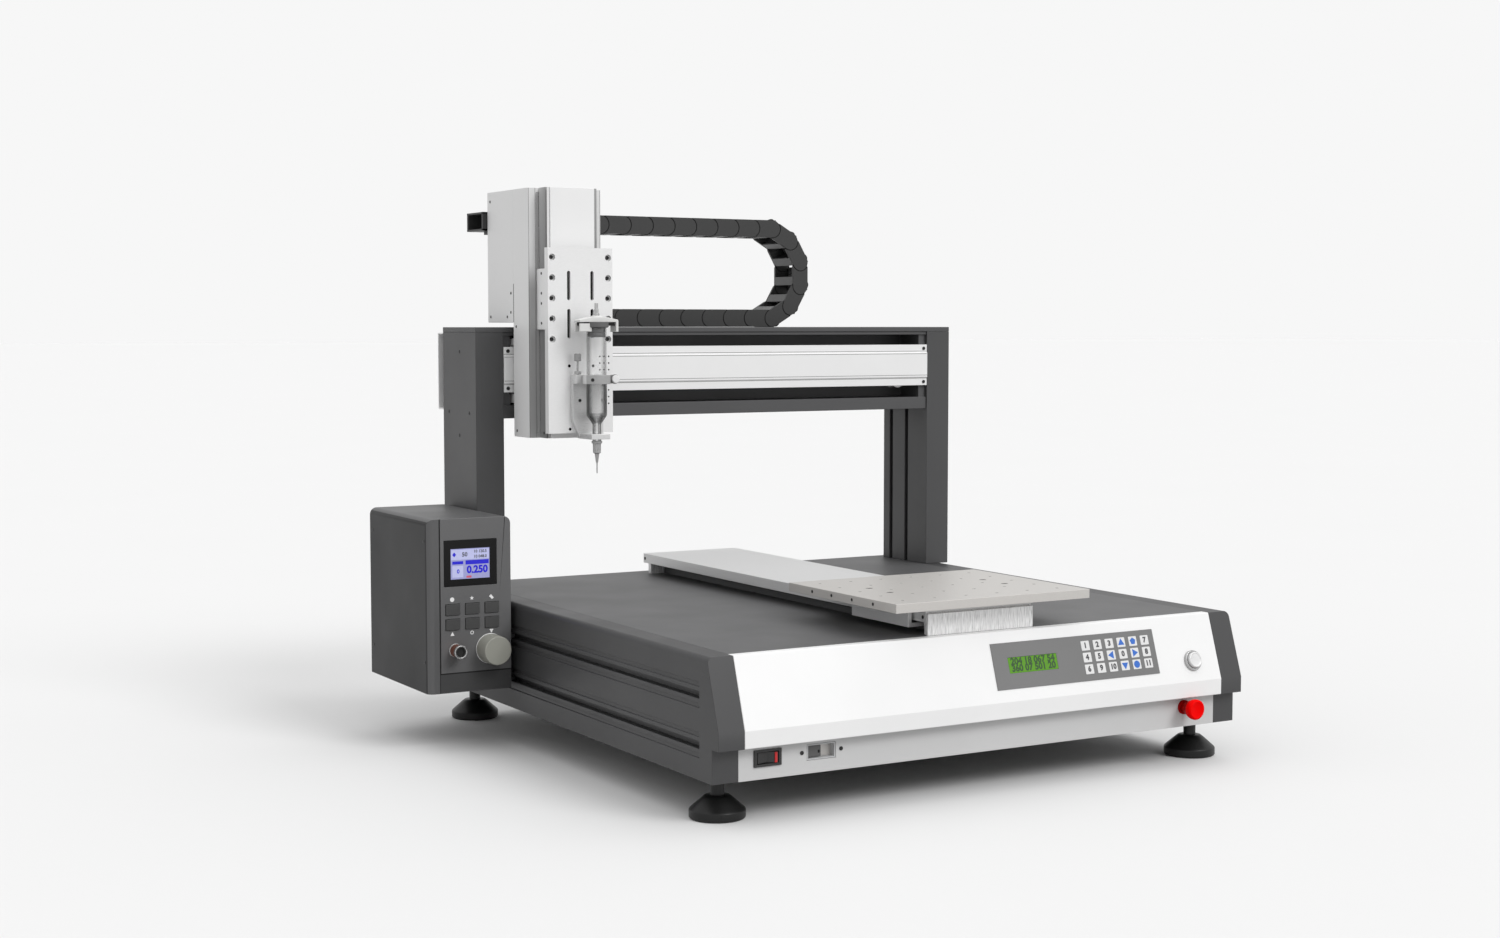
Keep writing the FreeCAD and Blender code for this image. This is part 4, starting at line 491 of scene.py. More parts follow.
def mark(name, outline, matrix, finish, depth=0.06, start=0.0):
    # A thin form with sharp edges, such as a print or a seam
    return slab(name, outline, depth, matrix, finish, 0, start)


def frameRing(name, outer, inner, front, back, matrix, finish):
    # A rectangular frame: outer and inner as left, low, width and height
    loops = [[(x, y, level) for x, y in boxOutline(*box)]
             for box, level in ((outer, back), (outer, front), (inner, front), (inner, back))]
    return lofted(name, loops, matrix, finish, 0.35, closed=True)


def joined(name, parts):
    # Several pieces as one mesh, each keeping its finishes
    work = bmesh.new()
    finishes = []
    for part in parts:
        own = list(part.data.materials)
        finishes += [finish for finish in own if finish not in finishes]
        start = len(work.faces)
        work.from_mesh(part.data)
        work.faces.ensure_lookup_table()
        for face in work.faces[start:]:
            finish = own[face.material_index] if own else None
            face.material_index = finishes.index(finish) if finish else 0
    for part in parts:
        bpy.data.objects.remove(part)
    return addPiece(name, meshFrom(name, work), *finishes)


def lettering(name, text, size, x, y, matrix, finish, lift, bold=0.03):
    # Plain figures on a face, as a thin mesh
    curve = bpy.data.curves.new(name, "FONT")
    curve.body = text
    curve.size = size * mm
    curve.align_x = "CENTER"
    curve.align_y = "CENTER"
    curve.resolution_u = 3
    curve.offset = bold * size * mm
    thing = addPiece(name + "_curve", curve)
    mesh = evaluated(thing)
    bpy.data.objects.remove(thing)
    mesh.transform(matrix @ moved(x, y, lift))
    mesh.materials.clear()
    return addPiece(name, mesh, finish)


# Geometry Nodes trees

def startTree(name, *inputs):
    # A tree with named inputs: the title, the kind and, where it has one, the default
    tree = bpy.data.node_groups.new(name, "GeometryNodeTree")
    for title, kind, *value in (("Geometry", "Geometry"), *inputs):
        socket = tree.interface.new_socket(title, in_out="INPUT", socket_type="NodeSocket" + kind)
        if value:
            socket.default_value = value[0]
    tree.interface.new_socket("Geometry", in_out="OUTPUT", socket_type="NodeSocketGeometry")
    return tree, tree.nodes.new("NodeGroupInput").outputs, tree.nodes.new("NodeGroupOutput")


def lifted(tree, mesh, height):
    vector = node(tree, "ShaderNodeCombineXYZ", {"Z": height})
    return node(tree, "GeometryNodeTransform", {"Geometry": mesh,
                                                "Translation": vector.outputs[0]}).outputs[0]


def aimed(tree):
    # The rotation that turns Z along the aim stored on a point
    aim = node(tree, "GeometryNodeInputNamedAttribute", {"Name": "aim"}, data_type="FLOAT_VECTOR")
    return node(tree, "FunctionNodeAlignRotationToVector", {"Vector": aim.outputs["Attribute"]},
                axis="Z").outputs[0]


def copiesOn(tree, mesh, instance, finish, rotation=None):
    # The instance on every point of a mesh, made real, with its finish
    spots = node(tree, "GeometryNodeMeshToPoints", {"Mesh": mesh})
    copies = node(tree, "GeometryNodeInstanceOnPoints", {"Points": spots.outputs[0],
                                                         "Instance": instance})
    if rotation:
        fill(tree, copies, {"Rotation": rotation})
    real = node(tree, "GeometryNodeRealizeInstances", {0: copies.outputs[0]})
    return node(tree, "GeometryNodeSetMaterial", {"Geometry": real.outputs[0],
                                                  "Material": finish}).outputs[0]


def buildScrewTree():
    # A socket head with a chamfer and a hexagon, set on every point along its aim
    tree, given, result = startTree(
        "screws on points", ("Head radius", "Float", 0.003), ("Head height", "Float", 0.002),
        ("Socket radius", "Float", 0.0014), ("Head finish", "Material"))
    radius, height = given["Head radius"], given["Head height"]
    side = maths(tree, "MULTIPLY", height, 0.75)
    shaft = node(tree, "GeometryNodeMeshCylinder", {"Vertices": 20, "Radius": radius, "Depth": side})
    top = node(tree, "GeometryNodeMeshCone", {
        "Vertices": 20, "Radius Top": maths(tree, "MULTIPLY", radius, 0.86), "Radius Bottom": radius,
        "Depth": maths(tree, "MULTIPLY", height, 0.25)})
    body = node(tree, "GeometryNodeJoinGeometry")
    for part, level in ((shaft, maths(tree, "MULTIPLY", side, 0.5)), (top, side)):
        fill(tree, body, {0: lifted(tree, part.outputs["Mesh"], level)})
    weld = node(tree, "GeometryNodeMergeByDistance", {"Geometry": body.outputs[0],
                                                      "Distance": 0.00001})
    hexagon = node(tree, "GeometryNodeMeshCylinder", {
        "Vertices": 6, "Radius": given["Socket radius"], "Depth": height})
    carve = node(tree, "GeometryNodeMeshBoolean", {
        "Mesh 1": weld.outputs[0],
        "Mesh 2": lifted(tree, hexagon.outputs["Mesh"], maths(tree, "MULTIPLY", height, 0.95)),
    }, operation="DIFFERENCE")
    fill(tree, result, {0: copiesOn(tree, given["Geometry"], carve.outputs["Mesh"],
                                    given["Head finish"], aimed(tree))})
    return tree


def buildKeyTree():
    # A grid of slabs with round corners, in the plane of their face
    tree, given, result = startTree(
        "grid of keys", ("Columns", "Int", 1), ("Rows", "Int", 1), ("Pitch across", "Float", 0.018),
        ("Pitch up", "Float", 0.014), ("Key width", "Float", 0.012), ("Key height", "Float", 0.012),
        ("Corner", "Float", 0.001), ("Thickness", "Float", 0.0004), ("Key finish", "Material"))
    shape = node(tree, "GeometryNodeCurvePrimitiveQuadrilateral", {
        "Width": given["Key width"], "Height": given["Key height"]})
    corner = node(tree, "GeometryNodeFilletCurve", {
        "Curve": shape.outputs[0], "Radius": given["Corner"], "Count": 4}, mode="POLY")
    flat = node(tree, "GeometryNodeFillCurve", {"Curve": corner.outputs[0]}, mode="NGONS")
    raised = node(tree, "GeometryNodeExtrudeMesh", {
        "Mesh": flat.outputs[0], "Offset Scale": given["Thickness"], "Individual": False})
    grid = node(tree, "GeometryNodeMeshGrid")
    for axis, count, pitch in (("X", "Columns", "Pitch across"), ("Y", "Rows", "Pitch up")):
        steps = maths(tree, "SUBTRACT", given[count], 1)
        fill(tree, grid, {"Vertices " + axis: given[count],
                          "Size " + axis: maths(tree, "MULTIPLY", steps, given[pitch])})
    fill(tree, result, {0: copiesOn(tree, grid.outputs["Mesh"], raised.outputs["Mesh"],
                                    given["Key finish"])})
    return tree


def buildLinkTree():
    # Chain links on points, each turned in the plane of the chain
    tree, given, result = startTree("links on points", ("Link", "Object"),
                                    ("Link finish", "Material"))
    info = node(tree, "GeometryNodeObjectInfo", {"Object": given["Link"]})
    turn = node(tree, "GeometryNodeInputNamedAttribute", {"Name": "turn"}, data_type="FLOAT")
    angles = node(tree, "ShaderNodeCombineXYZ", {
        "Y": maths(tree, "MULTIPLY", turn.outputs["Attribute"], -1)})
    fill(tree, result, {0: copiesOn(tree, given["Geometry"], info.outputs["Geometry"],
                                    given["Link finish"], angles.outputs[0])})
    return tree


def buildDrillTree():
    # Round blind holes in a plate, one at each point, against the way it faces
    tree, given, result = startTree(
        "holes in a plate", ("Plate", "Object"), ("Hole radius", "Float", 0.002),
        ("Hole depth", "Float", 0.004), ("Hole finish", "Material"))
    plate = node(tree, "GeometryNodeObjectInfo", {"Object": given["Plate"]})
    above = 0.001
    drill = node(tree, "GeometryNodeMeshCylinder", {
        "Vertices": 24, "Radius": given["Hole radius"],
        "Depth": maths(tree, "ADD", given["Hole depth"], above)})
    sunk = maths(tree, "MULTIPLY", maths(tree, "SUBTRACT", given["Hole depth"], above), -0.5)
    holes = copiesOn(tree, given["Geometry"], lifted(tree, drill.outputs["Mesh"], sunk),
                     given["Hole finish"], aimed(tree))
    carve = node(tree, "GeometryNodeMeshBoolean", {"Mesh 1": plate.outputs["Geometry"],
                                                   "Mesh 2": holes},
                 operation="DIFFERENCE", solver="EXACT")
    fill(tree, result, {0: carve.outputs["Mesh"]})
    return tree


def buildRibTree():
    # Ribs round a turned grip
    tree, given, result = startTree(
        "ribs round a grip", ("Ribs", "Int", 24), ("Grip radius", "Float", 0.004),
        ("Rib length", "Float", 0.01), ("Rib width", "Float", 0.0005), ("Rib finish", "Material"))
    ring = node(tree, "GeometryNodeMeshCircle", {"Vertices": given["Ribs"],
                                                 "Radius": given["Grip radius"]})
    rib = node(tree, "GeometryNodeMeshCylinder", {
        "Vertices": 5, "Radius": given["Rib width"], "Depth": given["Rib length"]})
    fill(tree, result, {0: copiesOn(tree, ring.outputs[0], rib.outputs["Mesh"],
                                    given["Rib finish"])})
    return tree


screwTree = buildScrewTree()
keyTree = buildKeyTree()
linkTree = buildLinkTree()
ribTree = buildRibTree()
drillTree = buildDrillTree()


def grow(name, tree, points, values):
    # Runs a tree on a mesh of points and leaves a plain mesh
    piece = addPiece(name, points)
    modifier = piece.modifiers.new(name, "NODES")
    modifier.node_group = tree
    for item in tree.interface.items_tree:
        if item.item_type == "SOCKET" and item.in_out == "INPUT" and item.name in values:
            modifier[item.identifier] = values[item.name]
    piece.update_tag()
    return plainMesh(piece)


def pointsWith(name, title, spots):
    # A mesh of points in millimetres, with a number or a direction stored on each
    points = bpy.data.meshes.new(name + "_points")
    points.from_pydata([Vector(spot) * mm for spot, value in spots], [], [])
    single = isinstance(spots[0][1], float)
    stored = points.attributes.new(title, "FLOAT" if single else "FLOAT_VECTOR", "POINT")
    for item, (spot, value) in zip(stored.data, spots):
        setattr(item, "value" if single else "vector", value)
    return points


def frontSpots(y, spots):
    # Places at X and Z on a face that looks to the front
    return [((x, y, z), (0, -1, 0)) for x, z in spots]


def bothSides(left, right, spots):
    # Places at Y and Z on the left and on the right face of a part
    return [((x, y, z), (out, 0, 0)) for x, out in ((left, -1), (right, 1)) for y, z in spots]


def drilled(plate, spots, radius, depth, finish):
    # The plate with blind holes at spots
    name = plate.name
    piece = grow(name + "_drilled", drillTree, pointsWith(name, "aim", spots), {
        "Plate": plate, "Hole radius": radius * mm, "Hole depth": depth * mm, "Hole finish": finish})
    bpy.data.objects.remove(plate)
    piece.name = name
    return piece


def screws(name, body, spots, size):
    # Socket heads at spots. The size is head radius, head height and socket radius
    radius, height, socket = size
    piece = grow(name, screwTree, pointsWith(name, "aim", spots), {
        "Head radius": radius * mm, "Head height": height * mm, "Socket radius": socket * mm,
        "Head finish": screwSteel})
    return rides(smoothed(piece, 28), body)


def keyGrid(name, matrix, finish, size, corner, thickness, soft=0.0, count=(1, 1), pitch=(0, 0)):
    seed = bpy.data.meshes.new(name + "_seed")
    piece = grow(name, keyTree, seed, {
        "Columns": count[0], "Rows": count[1], "Pitch across": pitch[0] * mm,
        "Pitch up": pitch[1] * mm, "Key width": size[0] * mm, "Key height": size[1] * mm,
        "Corner": corner * mm, "Thickness": thickness * mm, "Key finish": finish})
    piece.data.transform(matrix)
    return softEdges(piece, soft) if soft else smoothed(piece)


print("trees built")


# Base

footShape = {
    "profile": [(0, 0), (29.5, 0), (31, 1.5), (31, 9.5), (29.2, 11.4), (16.5, 22.6), (13.6, 24.6),
                (7.4, 25.0), (7.4, 38.0), (12.2, 38.0), (12.2, 45.9), (0, 45.9)],
    "places": [(334.5, -320.7), (-334.5, -320.7), (334.5, 352.3), (-334.5, 352.3)],
}


def makeBase():
    dressed("side_frame_left", darkCoat, 0.6)
    dressed("side_frame_right", darkCoat, 0.6)
    dressed("deck_plate", deckCoat, 0.4)
    dressed("base_tray", darkCoat, 0.4)
    dressed("front_shell", whiteCoat, 0.9, 3, crisp=True)
    # Painted shade: the strip's white is darker for the shade under the shell
    dressed("switch_strip", stripShadedCoat, 0.4)
    dressed("keypad_overlay", overlayFilm, 0.15, 1)
    feet = [lathe(f"foot_{x}_{y}", footShape["profile"], moved(x, y, 0), footRubber, 64, 0.5)
            for x, y in footShape["places"]]
    standsFor(joined("feet", feet), "levelling_feet")
    print("base made")


makeBase()


# Front panel. Keys are named by column and line, from the upper left

frontPanel = {
    "keyCount": (6, 3),
    "keyPitch": (17.85, 13.9),
    "keySize": (12.0, 11.3),
    "keyCorner": 0.9,
    "keyCentre": (179.8, 41.6),
    "figures": {(0, 0): "1", (1, 0): "2", (2, 0): "3", (5, 0): "7", (0, 1): "4", (1, 1): "5",
                (3, 1): "0", (5, 1): "8", (0, 2): "6", (1, 2): "9", (2, 2): "10", (5, 2): "11"},
    "figureSize": 8.6,
    "arrows": {(3, 0): 90, (2, 1): 180, (4, 1): 0, (3, 2): -90},
    "arrowShape": [(-3.2, -4.7), (4.8, 0), (-3.2, 4.7)],
    "dots": {(4, 0): 5, (4, 2): 24},
    "dotRadius": 4.4,
    "lcd": (21.0, 32.0, 70.0, 18.4),
    "lcdLines": ("204 18 067 54", "360 07 501 20"),
    "lcdFigures": 10.8,
}


def makeFrontPanel():
    # The overlay's keys with plain figures, arrows and dots, and its display
    across, up = frontPanel["keyPitch"]
    midX, midUp = frontPanel["keyCentre"]

    def keyAt(column, line):
        return midX + (column - 2.5) * across, midUp + (1 - line) * up

    parts = [keyGrid("membrane_keys", leanFace @ moved(midX, midUp, 0.8), keyPrint,
                     frontPanel["keySize"], frontPanel["keyCorner"], 0.25,
                     count=frontPanel["keyCount"], pitch=(across, up))]
    for key, text in frontPanel["figures"].items():
        parts.append(lettering(f"figure_{text}", text, frontPanel["figureSize"], *keyAt(*key),
                               leanFace, inkBlack, 1.1, 0.055))
    for key, angle in frontPanel["arrows"].items():
        turn = leanFace @ moved(*keyAt(*key), 0) @ Matrix.Rotation(math.radians(angle), 4, "Z")
        parts.append(mark(f"arrow_{angle}", frontPanel["arrowShape"], turn, inkBlue, 1.12, 1.0))
    for key, corners in frontPanel["dots"].items():
        outline = circleOutline(*keyAt(*key), frontPanel["dotRadius"], corners, 90)
        parts.append(mark(f"dot_{corners}", outline, leanFace, inkBlue, 1.12, 1.0))
    rides(joined("membrane_print", parts), "base")
    left, low, wide, tall = frontPanel["lcd"]
    parts = [slab("lcd_glass", boxOutline(left, low, wide, tall, -0.3), 0.8, leanFace, lcdGreen,
                  0.1, -8),
             slab("lcd_frame", boxOutline(left, low, wide, tall, 3.5), -2.1, leanFace, blackPlastic,
                  0.1, -8)]
    for k, text in enumerate(frontPanel["lcdLines"]):
        parts.append(lettering(f"lcd_line_{k}", text, frontPanel["lcdFigures"], left + 0.5 * wide,
                               low + tall * (0.72 - 0.44 * k), leanFace, inkGreen, 0.83, 0.045))
    standsFor(joined("lcd", parts), "display_module")
    print("front panel made")


makeFrontPanel()


# Buttons, switch and port. Turned shapes are radius and height; boxes are left, low, width, height

controls = {
    "startAt": (292.7, 25.3),
    "startRing": [(9.8, 0), (12.4, 0), (12.4, 2.4), (11.6, 3.4), (10.2, 3.4), (9.8, 3.0)],
    "startCap": [(0, -10), (9.5, -10), (9.5, 5.8), (8.7, 7.0), (7.9, 7.0), (7.3, 6.4), (0, 6.1)],
    "stopAt": (285.0, 70.0),
    "stopCollar": [(6.5, 0), (8.6, 0), (8.6, 2.6), (8.2, 3.0), (6.5, 3.0)],
    "stopNeck": [(0, -10), (6.0, -10), (6.0, 8.3), (8.2, 8.5), (8.5, 10.0), (9.7, 13.5),
                 (11.5, 17.0), (0, 17.0)],
    "stopFace": [(0, 17.0), (11.5, 17.0), (12.2, 19.6), (12.3, 22.6), (11.9, 24.0), (10.9, 25.0),
                 (9.8, 25.3), (8.8, 24.8), (0, 24.5)],
    "hood": ((-314.5, 59.8, 34.0, 18.4), (-311.0, 62.5, 27.0, 13.0)),
    "rockerMark": (-289.8, 63.3, 3.8, 11.4),
    "port": ((-247.5, 60.3, 36.4, 17.4), (-245.8, 62.0, 33.0, 14.0)),
    "portBack": (-246, 62, 33.4, 14),
    "portPlug": (-244.6, 62.6, 17, 12.4, 0.8),
    "portCore": (-231.6, 66.5, 2.6, 3.4, 0.8),
    "portScrews": [(-254.3, 69.4), (-204.3, 69.4)],
}


def makeControls():
    start = leanFace @ moved(*controls["startAt"], 0)
    standsFor(lathe("start_cap", controls["startCap"], start, capGrey, 64, 0.25), "start_button")
    x, z = controls["stopAt"]
    stop = frontAt(x, place["stripFront"], z)
    # The cap's neck and the collar are a darker copy of its red: painted shade
    cap = [lathe("stop_neck", controls["stopNeck"], stop, shadedRed, 72, 0),
           lathe("stop_face", controls["stopFace"], stop, signalRed, 72, 0)]
    standsFor(joined("stop_cap", cap), "estop_cap")
    parts = [
        lathe("start_ring", controls["startRing"], start, brightSteel, 64, 0.2),
        lathe("stop_collar", controls["stopCollar"], stop, shadedRed, 64, 0.3),
        frameRing("rocker_hood", *controls["hood"], 2.0, -12, stripFace, blackPlastic),
        frameRing("port_liner", *controls["port"], -0.4, -9, stripFace, edgeCoat),
        slab("port_back", boxOutline(*controls["portBack"]), -8.4, stripFace, plateMetal, 0.1, -9.6),
        slab("port_plug", roundedOutline(*controls["portPlug"]), -4.0, stripFace, plugGrey, 0.4, -9),
        slab("port_core", roundedOutline(*controls["portCore"]), -3.8, stripFace, seamAndShadeDark, 0.2, -8),
    ]
    standsFor(joined("fittings", parts), "panel_fittings")
    dressed("power_rocker", blackPlastic, 0.5)
    red = slab("rocker_red", boxOutline(*controls["rockerMark"]), 3.6, stripFace, rockerRed, 0.4, 0.5)
    rides(red, "rocker")
    screws("port_screws", "base", frontSpots(place["stripFront"], controls["portScrews"]),
           (2.3, 0.9, 1.0))
    print("controls made")


makeControls()


# Work plate and its module. Screws at Y and Z, holes at X and Y

workPlate = {
    "holePitch": 43.5,
    "middle": -254.2,
    "threads": (2.05, 222.75, 221.8),
    "bores": (4.4, 222.6, 221),
    "boreSpots": [(x, y) for x in (-81.8, 81.8) for y in (-275.95, -232.45)],
    "sideScrews": [(y, 218.0) for y in (-193, -235, -278.4, -321.8)],
    "coverScrews": [(-331, 200.2), (354, 200.7)],
}


def makeModule():
    dressed("y_bed", deckCoat, 0.4)
    dressed("y_cover", coverMetal, 0.5)
    dressed("y_end_plates", endMetal, 0.3)
    dressed("y_saddle", toolMetal, 0.5)
    dressed("work_plate", plateMetal, 0.5)
    nodes["y_screw"].data.materials[0] = railSteel
    screws("plate_side_screws", "table", bothSides(-135.5, 135.5, workPlate["sideScrews"]),
           (1.9, 0.3, 0.9))
    screws("cover_screws", "base", bothSides(-74, 74, workPlate["coverScrews"]), (2.1, 0.6, 1.0))
    pitch, middle = workPlate["holePitch"], workPlate["middle"]
    threads = [((k - 2.5) * pitch, middle + (j - 2) * pitch) for k in range(6) for j in range(5)]
    # Painted shade: dark discs a little way down the holes, where only shade would show: radius, upper
    # and lower height
    bottoms = []
    for spots, (radius, high, low), count in ((threads, workPlate["threads"], 16),
                                              (workPlate["boreSpots"], workPlate["bores"], 24)):
        bottoms += [mark(f"hole_{x}_{y}", circleOutline(x, y, radius, count), Matrix(), seamAndShadeDark,
                         high, low) for x, y in spots]
    rides(joined("hole_bottoms", bottoms), "table")
    print("module made")


makeModule()


# Gantry

gantry = {
    "coverScrews": [(x, z) for x in (-327.5, 327.5) for z in (447.2, 495.6)],
    "coverGrooves": [(248.0, 451.9), (246.5, 456.4), (246.5, 487.4), (248.0, 491.2)],
    "columnScrews": [(303.0, 494.5), (340.5, 415.1), (271.0, 414.9), (305.0, 384.8)],
    "inside": {"guide_rails": railSteel, "stepper_motors": blackPlastic,
               "x_drive_pulley": brightSteel, "x_idler_pulley": brightSteel, "x_belt": beltRubber,
               "control_electronics": boardGreen, "z_motor": blackPlastic, "z_screw": railSteel,
               "z_rails": railSteel},
}


def makeGantry():
    dressed("column_left", columnCoat, 0.7)
    dressed("column_right", columnCoat, 0.7)
    dressed("beam", gantryCoat, 0.7)
    dressed("beam_top_plate", gantryCoat, 0.7)
    dressed("beam_front_cover", whiteCoat, 0.4)
    dressed("beam_rear_cover", whiteCoat, 0.6)
    screws("beam_cover_screws", "base", frontSpots(247.9, gantry["coverScrews"]), (2.4, 1.0, 1.1))
    grooves = [mark(f"groove_{z}", boxOutline(-333.2, z, 666.4, 0.7), frontAt(0, y, 0), lineGrey)
               for y, z in gantry["coverGrooves"]]
    rides(joined("beam_cover_grooves", grooves), "base")
    screws("column_screws", "base", bothSides(-372.6, 372.6, gantry["columnScrews"]),
           (2.4, 0.4, 1.1))
    for name, finish in gantry["inside"].items():
        nodes[name].data.materials[0] = finish
    print("gantry made")


makeGantry()


# Energy chain

chain = {
    "pitch": 34.1,
    "height": 24.5,
    "width": 54.0,
    "cheek": 4.0,
    "bar": 2.4,
    "gap": 1.2,
    "hornAngle": 62.0,
    "webs": (9.0, 26.0, 44.0),
    "bendX": 115.0,
    "front": 320.0,
    "lowZ": 539.05,
    "lowLinks": 9,
    "turns": 6,
    "highLinks": 12,
}


def makeLink():
    # One link in three parts: cheeks with a round tail and a hollow nose, bars across,
    # and tongues behind the joints in near black, painted shade, so that their gaps show dark but not
    # through
    pitch, half = chain["pitch"], chain["height"] / 2
    hollow = half + chain["gap"]
    angle = chain["hornAngle"]
    horn = pitch - hollow * math.cos(math.radians(angle)) - 0.8
    outline = [*arc(0, 0, half, 90, 270, 15), (horn, -half),
               *arc(pitch, 0, hollow, 180 + angle, 180 - angle, 10), (horn, half)]
    wide, thick, bar = chain["width"], chain["cheek"], chain["bar"]
    cheeks = [slab(f"cheek_{low}", outline, low + thick, chainFace, chainNylon, 0.3, low)
              for low in (0, wide - thick)]
    web = boxOutline(6.5, 2.0 - half, 5.0, 2 * half - 4.0)
    cheeks += [slab(f"web_{low}", web, low + 1.6, chainFace, chainNylon, 0.2, low)
               for low in chain["webs"]]
    bars = [slab(f"bar_{low}", boxOutline(start, low, long, bar), wide - 1.0, chainFace, chainRib,
                 0.3, 1.0) for low, start, long in ((-half, -6.0, 33.8), (half - bar, 1.2, 12.0))]
    tall = half - 0.3
    disc = [(pitch + x, max(-tall, min(tall, z)))
            for x, z in circleOutline(0, 0, hollow + 0.6, 36)]
    tongues = [mark(f"tongue_{low}", disc, chainFace, seamAndShadeDark, low + thick - 1.8, low)
               for low in (1.0, wide - thick + 0.8)]
    return [joined("link_cheeks", cheeks), joined("link_bars", bars),
            joined("link_tongues", tongues)]


def chainRun(name, link, spots):
    # Links at spots of the run: X, Z and the turn in degrees
    spots = [((x, chain["front"], z), math.radians(turn)) for x, z, turn in spots]
    made = []
    for part, finish in zip(link, (chainNylon, chainRib, seamAndShadeDark)):
        title = f"{name}_{part.name}"
        made.append(grow(title, linkTree, pointsWith(title, "turn", spots),
                         {"Link": part, "Link finish": finish}))
    return smoothed(joined(name, made), 30)


def bracket(name, plates):
    # A bracket of plates: left, low, width and height, start and end in Y, and softness
    return joined(name, [slab(f"{name}_{k}", boxOutline(*box), end, chainFace, chainNylon, soft, start)
                         for k, (box, start, end, soft) in enumerate(plates)])


def makeChain():
    link = makeLink()
    pitch, x, low = chain["pitch"], chain["bendX"], chain["lowZ"]
    lower = [(x - k * pitch, low, 0) for k in range(1, chain["lowLinks"] + 1)]
    bend = []
    high = low
    for k in range(1, chain["turns"]):
        angle = k * 180 / chain["turns"]
        bend.append((x, high, angle))
        x += pitch * math.cos(math.radians(angle))
        high += pitch * math.sin(math.radians(angle))
    upper = [(chain["bendX"] - k * pitch, high, 180) for k in range(chain["highLinks"])]
    standsFor(chainRun("chain_turn_links", link, bend), "chain_bend")
    lowPiece = chainRun("chain_low_links", link, lower)
    highPiece = chainRun("chain_high_links", link, upper)
    for part in link:
        bpy.data.objects.remove(part)
    tall, half, thick = chain["height"], chain["height"] / 2, chain["cheek"]
    front, back = chain["front"], chain["front"] + chain["width"]
    standsFor(bracket("chain_end_bracket", [
        ((-330.7, high - half, 36, 2.5), front, back, 0.3),
        ((-330.7, high + half - 2.5, 36, 2.5), front, back, 0.3),
        ((-330.7, high - half, 36, tall), front, front + thick, 0.3),
        ((-330.7, high - half, 36, tall), back - thick, back, 0.3),
        ((-322.7, high - half + 2, 28, tall - 4), front - 1, front + 1, 0.2),
        ((-320.7, high - half - 5, 8, 5), front, front + 20, 0.2)]), "chain_upper")
    rides(highPiece, "head")
    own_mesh(highPiece)
    standsFor(bracket("chain_foot_bracket", [
        ((-232.6, low - half, 28, 2.5), front, back, 0.3),
        ((-220.6, low - half, 16, tall), front, front + thick, 0.3),
        ((-220.6, low - half, 16, tall), back - thick, back, 0.3)]), "chain_lower")
    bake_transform(lowPiece)
    print("chain made")


makeChain()


# Head. Screws at Y and Z, bands by their height

head = {
    "sides": (-324.5, -222.5),
    "sideScrews": [(309.3, 691.1), (309.6, 540.1), (255.5, 539.9), (243.8, 545.8), (243.3, 570.5),
                   (227.2, 527.4), (226.5, 393.2)],
    "noseSides": (-309.5, -237.5),
    "noseScrews": [(176, 391.8)],
    "slit": (-235.6, 533.0, 1.3, 49.6),
    "lipY": 188.0,
    "lipLines": (-324.0, -315.0, -232.6, -223.6),
    "low": 386,
    "tall": 317,
    "bandTop": 697.3,
    "bandBottom": 391.6,
    "armTop": 600.9,
    "armBottom": 523.1,
    "armReach": 38.0,
    "band": (188.2, 3.7, 0.8),
}


def bandMesh(name, middle, low, high):
    # A thin upright strip, divided along its height
    y, wide, thick = head["band"]
    steps = 24
    loops = [[(x, depth, low + (high - low) * k / steps)
              for x, depth in boxOutline(middle - wide / 2, y, wide, thick)]
             for k in range(steps + 1)]
    return lofted(name, loops, Matrix(), bandGrey, 0, capped=True)


def makeHead():
    housing = dressed("z_housing", headCoat, 0.5)
    # The lip's front faces take a coat with painted shade low down
    repaint(housing, lipPaintedShade, lambda face: face.normal.y < -0.5 and face.center.y < 188.4 * mm)
    dressed("head_cover", headCoat, 0.6)
    dressed("x_saddle", toolMetal, 0.5)
    nose = dressed("z_front_cover", whiteCoat, 0.5)
    # The nose's sides take a coat that is darker low down and towards their front: painted shade and
    # painted reflection
    repaint(nose, nosePaintedShade, lambda face: abs(face.center.x - place["headX"] * mm) > 31.2 * mm
            and face.center.y < 187 * mm)
    spots = bothSides(*head["sides"], head["sideScrews"])
    spots += bothSides(*head["noseSides"], head["noseScrews"])
    screws("head_screws", "head", spots, (1.8, 0.4, 0.8))
    side = facing((head["sides"][0], 0, 0), (0, -1, 0), (0, 0, 1))
    lines = [mark("head_slit", boxOutline(*head["slit"]), side, seamAndShadeDark, 0.08)]
    low, tall = head["low"], head["tall"]
    for x in head["lipLines"]:
        lines.append(mark(f"lip_line_{x}", boxOutline(x, low, 0.6, tall), frontAt(0, head["lipY"], 0),
                          lineGrey))
    # A grey strip down the left edge of the nose's front, in the lip's coat: painted shade on that
    # edge
    lines.append(mark("nose_edge", boxOutline(-309.0, low, 3.4, tall), frontAt(0, 164.5, 0), lipPaintedShade))
    rides(joined("head_lines", lines), "head")
    # Thin bands close the slots of the housing above and below the arms
    top, bottom = head["bandTop"], head["bandBottom"]
    armTop, armBottom = head["armTop"], head["armBottom"]
    for label, low, high, start, end in (("upper", armTop, top, top, armTop),
                                         ("lower", bottom, armBottom, bottom, armBottom)):
        band = joined(f"slot_band_{label}",
                      [bandMesh(f"band_{label}_{reach}", place["headX"] + reach, low, high)
                       for reach in (-head["armReach"], head["armReach"])])
        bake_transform(band)
    print("head made")


makeHead()


# Z stage. Places on its plate are X and Z, holes are radius and depth

